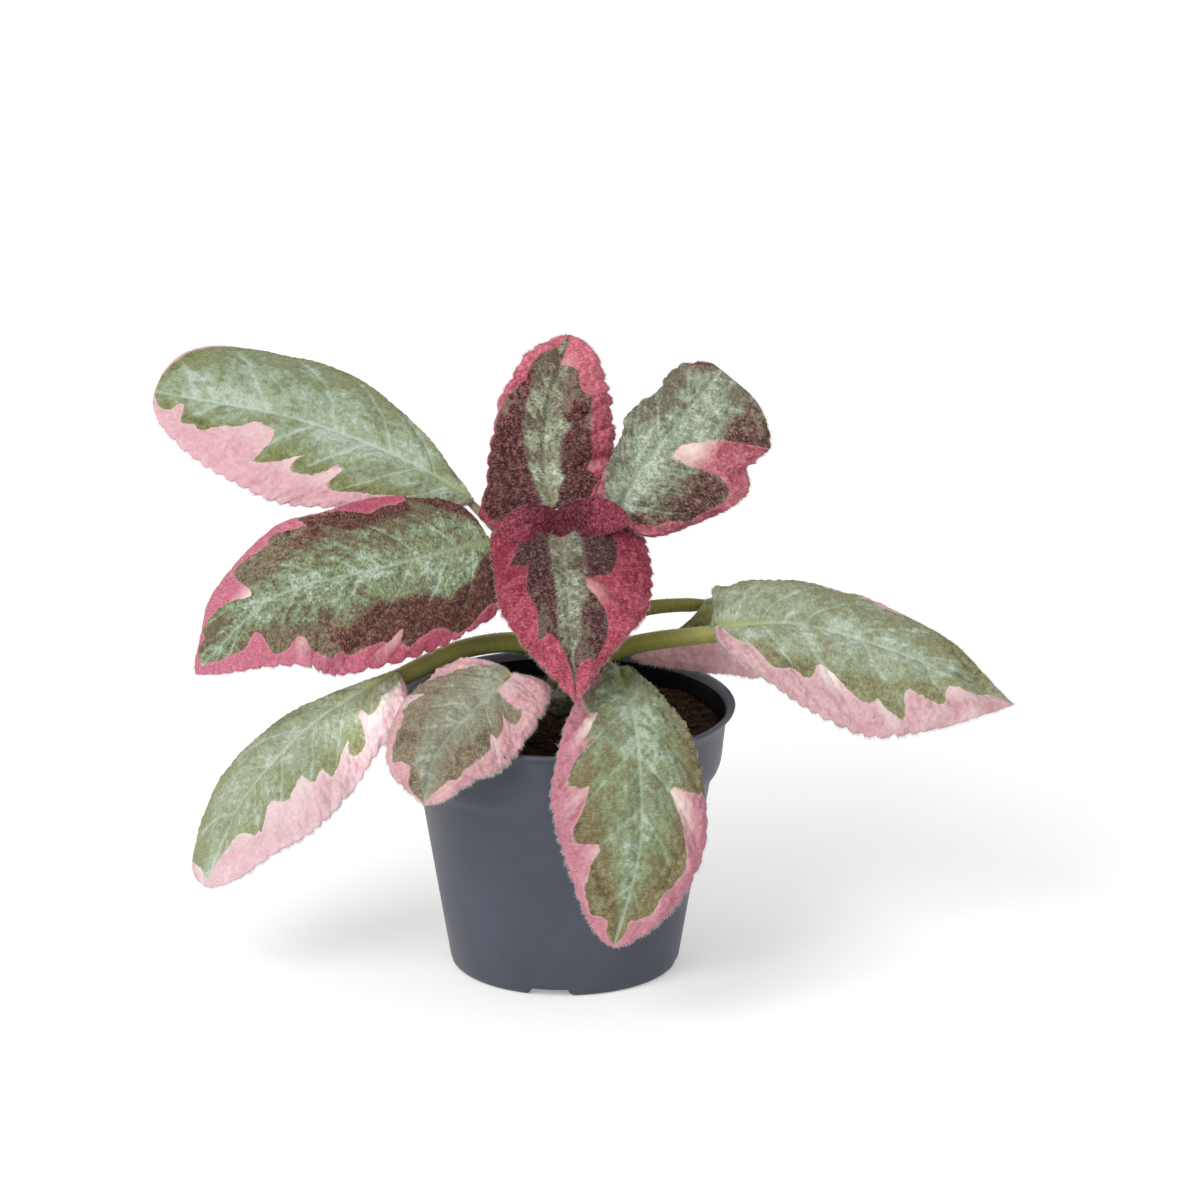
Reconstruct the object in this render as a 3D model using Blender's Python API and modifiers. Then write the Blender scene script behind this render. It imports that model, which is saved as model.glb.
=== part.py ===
"""Potted flame violet: a hairy, variegated house plant in a plastic nursery pot.

Metres, +Z up. The origin is the middle of the pot's base, which stands on z = 0, and the
front of the plant faces -Y. Each blade, leaf stalk, the stem, the soil and the pot is a
solid of its own, and neighbours keep a gap of CLEARANCE.
"""
import math

import bmesh
import bpy
from mathutils import Vector

MM = 0.001
CLEARANCE = 0.3 * MM
CURVE_STEPS = 12

# Pot: a round nursery pot with a deep collar, 105 mm over its lip.
POT_HEIGHT = 83.5 * MM
POT_LIP_RADIUS = 52.5 * MM
POT_COLLAR_RADIUS = 48.3 * MM
POT_SHOULDER_RADIUS = 45.0 * MM
POT_BASE_RADIUS = 33.0 * MM
POT_SHOULDER_HEIGHT = 60.0 * MM
POT_COLLAR_HEIGHT = 66.0 * MM
POT_LIP_THICKNESS = 1.5 * MM
POT_WALL = 1.2 * MM
POT_FLOOR = 3.6 * MM
POT_STEPS = 48
# The collar flares towards the lip and eases into the tapered side in two small steps. The
# inside bends sit a little higher, and the side ends in a small bevel above the base.
COLLAR_FLARE = 1.5 * MM
COLLAR_EASE = 0.5 * MM
COLLAR_EASE_DROP = 2.0 * MM
SHOULDER_EASE = 1.1 * MM
SHOULDER_EASE_RISE = 1.5 * MM
INSIDE_LIFT = 0.4 * MM
SIDE_START = 2.0 * MM
FOOT_BEVEL = 1.5 * MM
CHANNEL_WIDTH = 14.0 * MM
CHANNEL_HEIGHT = 2.3 * MM
CHANNEL_INNER_RADIUS = 19.0 * MM
CHANNEL_COUNT = 4
CHANNEL_TURN = math.radians(-7.4)
CHANNEL_NARROWING = 0.72
DRAIN_RADIUS = 3.5 * MM
DRAIN_DISTANCE = 24.0 * MM

# Soil: fills the pot to a little below the rim and rises slightly to the stem.
SOIL_EDGE_HEIGHT = 73.5 * MM
SOIL_MIDDLE_HEIGHT = 75.0 * MM
SOIL_GAP = 0.4 * MM
SOIL_CROWN_RADIUS = 22.0 * MM
SOIL_CROWN_DROP = 0.4 * MM

# Stem: leans forward a little as it rises out of the soil.
STEM_POINTS = [(-1, 8, 62), (-1, 8, 75), (-1, 7, 90), (-2, 4, 115), (-3, 1, 141)]
STEM_BASE_RADIUS = 4.4 * MM
STEM_TOP_RADIUS = 3.0 * MM
STEM_TIP_SHARE = 0.6

# Blades: a midrib from base to tip, the way the upper side faces along it, the half widths
# to the left and right of it as seen on the upper side with the tip away from the viewer,
# and the slopes of each half at the midrib and at the margin, in degrees.
BLADE_THICKNESS = 1.0 * MM
BLADE_ROWS = 12
BLADE_COLUMNS = 8

# Veins: LOBE_SPAN is how far up the blade its base lobes reach, and LOBE_SCALE makes their
# curve's highest value 1. Lateral veins start nearer the base than they end, by
# VEIN_CROWDING, and VEIN_LEAN and VEIN_BEND place the bend on each one's way out.
LOBE_SPAN = 0.5
LOBE_SCALE = 1.73
VEIN_CROWDING = 2.1
VEIN_LEAN = 0.35
VEIN_BEND = 0.55

# Leaf stalks: each runs on under STALK_REACH of its midrib and tapers there to STALK_TIP.
STALK_REACH = 0.22
STALK_TIP = 0.55
STALK_GAP = 0.8 * MM

LEAVES = {
    "leaf_upper_left": dict(
        midrib=[(-28, 22, 142), (-50, 29, 153), (-83, 38, 163), (-127, 47, 169)],
        face=[(0.25, -0.62, 0.78), (0.1, -0.66, 0.75), (-0.2, -0.6, 0.75)],
        width=(28, 40), left=(0, -20), right=(0, -60),
        lobe=(0.1, 0.05), peak=(1.15, 1.9), base=(1.2, 1.3), tip=(0.5, 0.5),
        stalk=[(-2, 6, 114), (-9, 10, 120), (-18, 14, 131)], stalk_radius=(2.2, 1.6),
    ),
    "leaf_middle_left": dict(
        midrib=[(-23, -4, 137), (-53, -11, 131), (-88, -18, 123), (-111, -26, 103)],
        face=[(0.0, -0.78, 0.62), (-0.15, -0.72, 0.62), (-0.6, -0.65, 0.5)],
        width=(27, 30), left=(0, -20), right=(0, -38),
        lobe=(0.14, 0.14), peak=(0.95, 0.8), base=(0.65, 0.65), tip=(0.6, 0.7),
        stalk=[(-2, 5, 109), (-9, 1, 117), (-16, -2, 128)], stalk_radius=(2.4, 1.8),
    ),
    "leaf_top_back": dict(
        midrib=[(-4, 4, 145), (-6, 18, 159), (-4, 32, 173), (2, 44, 188)],
        face=[(0, -0.8, 0.6), (0.1, -0.8, 0.6)],
        width=(17, 23), left=(10, -30), right=(15, -25),
        lobe=(0.28, 0.28), peak=(0.75, 0.9), base=(0.6, 0.6), tip=(0.6, 0.35),
        stalk=[(-3, 3, 131), (-4, 6, 135)], stalk_radius=(1.7, 1.3),
    ),
    "leaf_front_center": dict(
        midrib=[(-1, -8, 139), (1, -26, 132), (2, -43, 119), (4, -54, 101)],
        face=[(0, -0.3, 0.95), (0, -0.75, 0.66)],
        width=(28, 22), left=(5, -30), right=(5, -30),
        lobe=(0.28, 0.25), peak=(0.6, 0.6), base=(0.7, 0.7), tip=(1.1, 1.1),
        stalk=[(-3, 3, 126), (-2, -2, 131)], stalk_radius=(1.8, 1.4),
    ),
    "leaf_upper_right": dict(
        midrib=[(18, 2, 146), (26, 5, 160), (36, 9, 172), (48, 13, 186)],
        face=[(0.2, -0.8, 0.6), (0.1, -0.9, 0.5)],
        width=(15, 29), left=(5, -60), right=(5, -10),
        lobe=(0.1, 0.22), peak=(1.3, 1.2), base=(0.8, 0.7), tip=(0.5, 0.25),
        stalk=[(-2, 5, 121), (6, 5, 125), (12, 4, 133)], stalk_radius=(2.2, 1.6),
    ),
    "leaf_lower_left": dict(
        midrib=[(-55, -6, 94), (-78, -13, 80), (-98, -20, 59), (-110, -27, 33)],
        face=[(-0.3, -0.6, 0.75), (-0.7, -0.6, 0.35)],
        width=(25, 30), left=(0, -20), right=(0, -65),
        lobe=(0.05, 0.05), peak=(1.0, 1.8), base=(0.8, 1.4), tip=(0.7, 0.6),
        stalk=[(-1, 7, 96), (-14, 2, 103), (-32, -2, 103)], stalk_radius=(2.7, 2.2),
    ),
    "leaf_front_left": dict(
        midrib=[(-20, -34, 99), (-32, -44, 91), (-39, -53, 84), (-42, -60, 71)],
        face=[(0.2, -0.5, 0.85), (-0.2, -0.75, 0.6)],
        width=(20, 23), left=(8, -4), right=(0, -50),
        lobe=(0.36, 0.2), peak=(0.9, 0.8), base=(0.65, 0.6), tip=(0.45, 0.7),
        stalk=[(-1, 8, 82), (-3, -2, 85), (-8, -16, 91)], stalk_radius=(2.5, 1.9),
    ),
    "leaf_front_bottom": dict(
        midrib=[(17, -22, 102), (22, -54, 91), (23, -69, 62), (15, -78, 32)],
        face=[(0.1, -0.3, 0.95), (0, -0.9, 0.35)],
        width=(21, 28), left=(0, -30), right=(0, -32),
        lobe=(0.08, 0.08), peak=(1.25, 1.15), base=(1.1, 1.1), tip=(0.85, 0.85),
        stalk=[(-1, 7, 89), (6, -3, 93), (12, -12, 99)], stalk_radius=(2.6, 2.0),
    ),
    "leaf_lower_right": dict(
        midrib=[(46, -6, 110), (72, -10, 112), (105, -14, 103), (137, -18, 89)],
        face=[(0.1, -0.55, 0.83), (0.4, -0.5, 0.75)],
        width=(24, 30), left=(20, -60), right=(0, -35),
        lobe=(0.2, 0.1), peak=(0.7, 1.1), base=(0.5, 1.0), tip=(1.1, 0.9),
        stalk=[(-1, 7, 96), (9, 2, 98), (26, -3, 104)], stalk_radius=(3.1, 2.6),
    ),
    "leaf_right_rear": dict(
        midrib=[(43, 23, 108), (57, 29, 103), (73, 35, 92), (86, 39, 81)],
        face=[(0, -0.88, 0.48), (0.3, -0.75, 0.6)],
        width=(6, 22), left=(0, -80), right=(0, -20),
        lobe=(0.05, 0.55), peak=(1, 0.5), base=(0.8, 1.0), tip=(0.9, 0.9),
        stalk=[(-1, 7, 102), (10, 12, 104), (26, 18, 108)], stalk_radius=(2.4, 2.1),
    ),
    "young_leaf_left": dict(
        midrib=[(-4, -1, 142), (-10, -3, 145), (-15, -5, 144), (-19, -7, 142)],
        face=[(0, -0.8, 0.6), (-0.3, -0.8, 0.5)],
        width=(5, 6), left=(0, -40), right=(10, -40),
        lobe=(0.1, 0.1), peak=(0.8, 0.8), base=(0.7, 0.7), tip=(0.7, 0.7),
        stalk=[], stalk_radius=(0, 0),
    ),
    "young_leaf_right": dict(
        midrib=[(-2, -1, 142), (4, -2, 145), (9, -4, 147), (14, -6, 147)],
        face=[(0, -0.8, 0.6), (0.3, -0.8, 0.5)],
        width=(5, 6), left=(10, -40), right=(0, -40),
        lobe=(0.1, 0.1), peak=(0.8, 0.8), base=(0.7, 0.7), tip=(0.7, 0.7),
        stalk=[], stalk_radius=(0, 0),
    ),
}

# Plain colours, one for each kind of piece and one for each blade.
POT_COLOUR = (0.095, 0.105, 0.125)
SOIL_COLOUR = (0.015, 0.011, 0.008)
STALK_COLOUR = (0.24, 0.25, 0.05)
STEM_COLOUR = (0.06, 0.08, 0.02)
BLADE_COLOURS = {
    "leaf_upper_left": (0.36, 0.43, 0.28),
    "leaf_middle_left": (0.20, 0.24, 0.15),
    "leaf_top_back": (0.20, 0.05, 0.07),
    "leaf_front_center": (0.30, 0.08, 0.11),
    "leaf_upper_right": (0.22, 0.30, 0.20),
    "leaf_lower_left": (0.38, 0.43, 0.28),
    "leaf_front_left": (0.36, 0.38, 0.27),
    "leaf_front_bottom": (0.33, 0.42, 0.27),
    "leaf_lower_right": (0.36, 0.43, 0.27),
    "leaf_right_rear": (0.55, 0.26, 0.28),
    "young_leaf_left": (0.22, 0.02, 0.04),
    "young_leaf_right": (0.22, 0.02, 0.04),
}


def lerp(pair, amount):
    """The value that amount, 0 to 1, picks between a pair's two values."""
    return pair[0] + (pair[1] - pair[0]) * amount


def in_metres(point):
    """A point given in millimetres."""
    return Vector(point) * MM


def smooth_path(points, spacing):
    """Points evenly spaced along a Catmull-Rom curve through the given points."""
    ends = [points[0] * 2 - points[1]] + list(points) + [points[-1] * 2 - points[-2]]
    dense = []
    for before, start, end, after in zip(ends, ends[1:], ends[2:], ends[3:]):
        for step in range(CURVE_STEPS):
            u = step / CURVE_STEPS
            dense.append(0.5 * (
                2 * start + (end - before) * u
                + (2 * before - 5 * start + 4 * end - after) * u ** 2
                + (3 * start - before - 3 * end + after) * u ** 3
            ))
    dense.append(points[-1].copy())
    lengths = [0.0]
    for a, b in zip(dense, dense[1:]):
        lengths.append(lengths[-1] + (b - a).length)
    count = max(2, round(lengths[-1] / spacing))
    path = []
    segment = 0
    for index in range(count + 1):
        target = lengths[-1] * index / count
        while segment < len(dense) - 2 and lengths[segment + 1] < target:
            segment += 1
        share = (target - lengths[segment]) / (lengths[segment + 1] - lengths[segment])
        path.append(dense[segment].lerp(dense[segment + 1], share))
    return path


class Blade:
    """A leaf blade's middle surface, curved along its midrib and across each half.

    A place on it is (vein, side): vein runs from 0 at the base to 1 at the tip and side from
    -1 at the left margin over the midrib to 1 at the right one. Lines of constant vein sweep
    forward like the real lateral veins.
    """

    def __init__(self, leaf):
        self.leaf = leaf
        midrib = smooth_path([in_metres(point) for point in leaf["midrib"]], 1 * MM)
        self.length = sum((b - a).length for a, b in zip(midrib, midrib[1:]))
        self.midrib = midrib

    def frame(self, along):
        """Midrib point, direction, right-hand side and upward normal at a distance."""
        position = along / self.length * (len(self.midrib) - 1)
        index = min(max(int(position), 0), len(self.midrib) - 2)
        before, after = self.midrib[index], self.midrib[index + 1]
        direction = (after - before).normalized()
        point = before + (after - before) * (position - index)
        faces = [Vector(face) for face in self.leaf["face"]]
        place = min(max(along / self.length, 0), 1) * (len(faces) - 1)
        first = min(int(place), len(faces) - 2)
        face = faces[first].lerp(faces[first + 1], place - first)
        normal = (face - direction * face.dot(direction)).normalized()
        return point, direction, direction.cross(normal), normal

    def spread(self, vein, side):
        """Distances along the midrib and out from it, as on the blade laid flat."""
        leaf = self.leaf
        right = 1 if side >= 0 else 0
        out = abs(side)
        width = leaf["width"][right] * MM
        base, tip = leaf["base"][right], leaf["tip"][right]
        back = min(vein / LOBE_SPAN, 1)
        sweep = LOBE_SCALE * math.sin(math.pi * back) * (1 - back)
        edge_along = (vein - leaf["lobe"][right] * sweep) * self.length
        fullness = max(math.sin(math.pi * vein ** leaf["peak"][right]), 0)
        edge_out = width * fullness ** lerp((base, tip), vein)
        root_along = self.length * vein ** VEIN_CROWDING
        bend_along = root_along + VEIN_LEAN * (edge_along - root_along)
        near, middle, far = (1 - out) ** 2, 2 * out * (1 - out), out ** 2
        along = near * root_along + middle * bend_along + far * edge_along
        return along, (middle * VEIN_BEND + far) * edge_out

    def place(self, vein, side):
        """The point of the curved blade at a vein and side."""
        along, out = self.spread(vein, side)
        point, _, across, normal = self.frame(along)
        right = side >= 0
        half = self.leaf["width"][1 if right else 0] * MM
        inner, outer = (math.radians(slope) for slope in self.leaf["right" if right else "left"])
        bend = (outer - inner) / half
        reach = out if abs(bend) < 1e-6 else (
            (math.sin(inner + bend * out) - math.sin(inner)) / bend
        )
        rise = 0 if abs(bend) < 1e-6 else (
            (math.cos(inner) - math.cos(inner + bend * out)) / bend
        )
        return point + across * reach * (1 if right else -1) + normal * rise


def new_object(name, mesh, collection, colour=None, roughness=0.6):
    """Link a mesh as an object, with a material of its own when it has a colour."""
    thing = bpy.data.objects.new(name, mesh)
    collection.objects.link(thing)
    if colour:
        material = bpy.data.materials.new(name)
        material.use_nodes = True
        shader = material.node_tree.nodes["Principled BSDF"]
        shader.inputs["Base Color"].default_value = (*colour, 1)
        shader.inputs["Roughness"].default_value = roughness
        shader.inputs["Metallic"].default_value = 0
        mesh.materials.clear()
        mesh.materials.append(material)
    else:
        thing.hide_render = True
        thing.display_type = "WIRE"
    return thing


def mesh_from(name, bm):
    """A smooth-shaded mesh data block from a bmesh, which is freed."""
    mesh = bpy.data.meshes.new(name)
    bm.to_mesh(mesh)
    bm.free()
    mesh.shade_smooth()
    mesh.set_sharp_from_angle(angle=math.radians(35))
    return mesh


def turned_mesh(name, profile, steps):
    """A closed solid turned from a profile of (radius, height) about the Z axis."""
    mesh = bpy.data.meshes.new(name)
    points = [(radius, 0, height) for radius, height in profile]
    mesh.from_pydata(points, [(i, i + 1) for i in range(len(points) - 1)], [])
    thing = bpy.data.objects.new(name, mesh)
    bpy.context.scene.collection.objects.link(thing)
    screw = thing.modifiers.new("Screw", "SCREW")
    screw.steps = screw.render_steps = steps
    screw.use_merge_vertices = True
    screw.merge_threshold = 0.00001
    solid = baked(thing, name)
    solid.shade_smooth()
    solid.set_sharp_from_angle(angle=math.radians(35))
    return solid


def baked(thing, name):
    """The evaluated mesh of an object, which is removed."""
    bpy.context.view_layer.update()
    evaluated = thing.evaluated_get(bpy.context.evaluated_depsgraph_get())
    mesh = bpy.data.meshes.new_from_object(evaluated)
    mesh.name = name
    bpy.data.objects.remove(thing)
    bm = bmesh.new()
    bm.from_mesh(mesh)
    bmesh.ops.remove_doubles(bm, verts=bm.verts, dist=0.00001)
    bmesh.ops.recalc_face_normals(bm, faces=bm.faces)
    bm.to_mesh(mesh)
    bm.free()
    return mesh


def tube_mesh(name, path, radii, resolution=2):
    """A closed round tube along a path, with a radius for each point."""
    curve = bpy.data.curves.new(name, "CURVE")
    curve.dimensions = "3D"
    curve.bevel_depth = 1
    curve.bevel_resolution = resolution
    curve.use_fill_caps = True
    spline = curve.splines.new("POLY")
    spline.points.add(len(path) - 1)
    for point, place, radius in zip(spline.points, path, radii):
        point.co = (*place, 1)
        point.radius = radius
    thing = bpy.data.objects.new(name, curve)
    bpy.context.scene.collection.objects.link(thing)
    mesh = baked(thing, name)
    mesh.shade_smooth()
    mesh.set_sharp_from_angle(angle=math.radians(50))
    return mesh


def cut(thing, cutter):
    """Take a cutter's solid out of an object."""
    boolean = thing.modifiers.new("Cut " + cutter.name, "BOOLEAN")
    boolean.operation = "DIFFERENCE"
    boolean.object = cutter
    boolean.solver = "EXACT"


def blade_mesh(name, blade):
    """The blade's surface as a grid, closed to a point at the base and the tip."""
    bm = bmesh.new()
    bmesh.ops.create_grid(bm, x_segments=BLADE_COLUMNS, y_segments=BLADE_ROWS, size=1)
    for vert in bm.verts:
        side, vein = vert.co.x, (vert.co.y + 1) / 2
        vert.co = blade.place(vein, side)
    bmesh.ops.remove_doubles(bm, verts=bm.verts, dist=0.00002)
    return mesh_from(name, bm)


def wall_radius(height):
    """The radius of the pot's tapered side at a height below its shoulder."""
    lowest = POT_BASE_RADIUS + SIDE_START
    return lerp((lowest, POT_SHOULDER_RADIUS), height / POT_SHOULDER_HEIGHT)


def pot_profiles():
    """The pot's wall outside and the same wall inside, both from the top down."""
    ease_height = POT_COLLAR_HEIGHT - COLLAR_EASE_DROP
    shoulder_height = POT_SHOULDER_HEIGHT + SHOULDER_EASE_RISE
    outside = [
        (POT_LIP_RADIUS, POT_HEIGHT),
        (POT_LIP_RADIUS, POT_HEIGHT - POT_LIP_THICKNESS),
        (POT_COLLAR_RADIUS + COLLAR_FLARE, POT_HEIGHT - POT_LIP_THICKNESS),
        (POT_COLLAR_RADIUS, POT_COLLAR_HEIGHT),
        (POT_COLLAR_RADIUS - COLLAR_EASE, ease_height),
        (POT_SHOULDER_RADIUS + SHOULDER_EASE, shoulder_height),
        (POT_SHOULDER_RADIUS, POT_SHOULDER_HEIGHT),
        (wall_radius(FOOT_BEVEL), FOOT_BEVEL),
        (POT_BASE_RADIUS, 0),
    ]
    inside = [
        (POT_COLLAR_RADIUS + COLLAR_FLARE - POT_WALL, POT_HEIGHT),
        (POT_COLLAR_RADIUS - POT_WALL, POT_COLLAR_HEIGHT),
        (POT_COLLAR_RADIUS - COLLAR_EASE - POT_WALL, ease_height + INSIDE_LIFT),
        (POT_SHOULDER_RADIUS + SHOULDER_EASE - POT_WALL, shoulder_height + INSIDE_LIFT),
        (POT_SHOULDER_RADIUS - POT_WALL, POT_SHOULDER_HEIGHT),
        (wall_radius(POT_FLOOR) - POT_WALL, POT_FLOOR),
    ]
    return outside, inside


def build_pot(parts, cutters):
    """The nursery pot: a turned shell with channels under its floor and drain holes."""
    outside, inside = pot_profiles()
    profile = [(0, POT_FLOOR)] + inside[::-1] + outside + [(0, 0)]
    pot = new_object("pot", turned_mesh("pot", profile, POT_STEPS), parts, POT_COLOUR, 0.45)
    for index in range(CHANNEL_COUNT):
        turn = CHANNEL_TURN + math.tau * index / CHANNEL_COUNT
        bm = bmesh.new()
        bmesh.ops.create_cube(bm, size=1)
        for vert in bm.verts:
            narrowing = CHANNEL_NARROWING if vert.co.z > 0 else 1.0
            vert.co.x *= CHANNEL_WIDTH * narrowing
            vert.co.y = -CHANNEL_INNER_RADIUS if vert.co.y > 0 else -POT_SHOULDER_RADIUS
            vert.co.z = CHANNEL_HEIGHT if vert.co.z > 0 else -CHANNEL_HEIGHT
        channel = new_object(f"channel_cutter_{index}", mesh_from("channel", bm), cutters)
        channel.rotation_euler.z = turn
        cut(pot, channel)
        bm = bmesh.new()
        bmesh.ops.create_cone(
            bm, cap_ends=True, segments=16, radius1=DRAIN_RADIUS, radius2=DRAIN_RADIUS,
            depth=4 * POT_FLOOR,
        )
        drain = new_object(f"drain_cutter_{index}", mesh_from("drain", bm), cutters)
        drain.location = (
            DRAIN_DISTANCE * math.sin(turn), -DRAIN_DISTANCE * math.cos(turn), POT_FLOOR,
        )
        cut(pot, drain)


def build_soil(parts, cutters):
    """The soil: a turned plug inside the pot, with a socket that takes the stem's foot."""
    _, inside = pot_profiles()
    lip_in = inside[0]
    side = [lerp_at(inside[1], lip_in, SOIL_EDGE_HEIGHT)] + inside[1:]
    profile = [(0, SOIL_MIDDLE_HEIGHT)]
    profile.append((SOIL_CROWN_RADIUS, SOIL_MIDDLE_HEIGHT - SOIL_CROWN_DROP))
    profile += [(radius - SOIL_GAP, height) for radius, height in side[:-1]]
    floor_radius, floor_height = side[-1]
    profile.append((floor_radius - SOIL_GAP, floor_height + CLEARANCE))
    profile.append((0, floor_height + CLEARANCE))
    soil = new_object("soil", turned_mesh("soil", profile, POT_STEPS), parts, SOIL_COLOUR, 0.95)
    cut(soil, cutters.objects["stem_clearance"])


def lerp_at(low, high, height):
    """The point at a height on the line between two profile points."""
    share = (height - low[1]) / (high[1] - low[1])
    return lerp((low[0], high[0]), share), height


def build_stem(parts, cutters):
    """The stem, and a slightly larger copy that clears room for it."""
    path = smooth_path([in_metres(point) for point in STEM_POINTS], 5 * MM)
    last = len(path) - 1
    radii = [lerp((STEM_BASE_RADIUS, STEM_TOP_RADIUS), i / last) for i in range(last + 1)]
    radii[-1] *= STEM_TIP_SHARE
    new_object("stem", tube_mesh("stem", path, radii), parts, STEM_COLOUR, 0.7)
    foot = path[0] - (path[1] - path[0]).normalized() * CLEARANCE
    top = path[-1] + (path[-1] - path[-2]).normalized() * CLEARANCE
    wider = [radius + CLEARANCE for radius in radii]
    route = [foot] + path[1:-1] + [top]
    new_object("stem_clearance", tube_mesh("stem_clearance", route, wider), cutters)


def stalk_route(blade, leaf):
    """A leaf stalk from inside the stem to the blade's base and on under its midrib."""
    thick, thin = (radius * MM for radius in leaf["stalk_radius"])
    free = [in_metres(point) for point in leaf["stalk"]]
    held = []
    for share in (0.02, STALK_REACH / 2, STALK_REACH):
        point, _, _, normal = blade.frame(blade.length * share)
        radius = lerp((thin, thin * STALK_TIP), share / STALK_REACH)
        held.append(point - normal * (radius + BLADE_THICKNESS / 2 + STALK_GAP))
    path = smooth_path(free + held, 4.5 * MM)
    start = held[0]
    radii = []
    for index, point in enumerate(path):
        beyond = (point - start).dot(blade.frame(0)[1])
        if beyond < 0:
            radii.append(lerp((thick, thin), index / len(path)))
        else:
            share = min(beyond / (blade.length * STALK_REACH), 1)
            radii.append(lerp((thin, thin * STALK_TIP), share))
    return path, radii


def build_leaves(parts, cutters):
    """Every blade with the stalk that carries it."""
    for name, leaf in LEAVES.items():
        blade = Blade(leaf)
        colour = BLADE_COLOURS[name]
        sheet = new_object(name, blade_mesh(name, blade), parts, colour, 0.8)
        solid = sheet.modifiers.new("Solidify", "SOLIDIFY")
        solid.thickness = BLADE_THICKNESS
        solid.offset = 0
        if leaf["stalk"]:
            stalk_name = name.replace("leaf", "stalk")
            path, radii = stalk_route(blade, leaf)
            mesh = tube_mesh(stalk_name, path, radii)
            stalk = new_object(stalk_name, mesh, parts, STALK_COLOUR, 0.7)
            cut(stalk, cutters.objects["stem_clearance"])


def main():
    for thing in list(bpy.data.objects):
        bpy.data.objects.remove(thing)
    parts = bpy.data.collections.new("potted_flame_violet")
    cutters = bpy.data.collections.new("cutters")
    bpy.context.scene.collection.children.link(parts)
    bpy.context.scene.collection.children.link(cutters)
    build_pot(parts, cutters)
    build_stem(parts, cutters)
    build_soil(parts, cutters)
    build_leaves(parts, cutters)


main()
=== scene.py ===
"""Looks of the potted flame violet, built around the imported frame. Metres, +Z up."""

import math

import bmesh
import bpy
import numpy as np
from mathutils import Matrix, Vector


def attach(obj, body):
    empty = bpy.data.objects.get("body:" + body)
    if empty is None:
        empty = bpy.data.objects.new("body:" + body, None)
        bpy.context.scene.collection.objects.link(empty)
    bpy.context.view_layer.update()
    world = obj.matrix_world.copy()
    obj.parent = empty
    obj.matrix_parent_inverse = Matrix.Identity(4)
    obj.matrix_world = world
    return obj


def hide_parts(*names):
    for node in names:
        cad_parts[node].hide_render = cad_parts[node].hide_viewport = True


MM = 0.001

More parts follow.
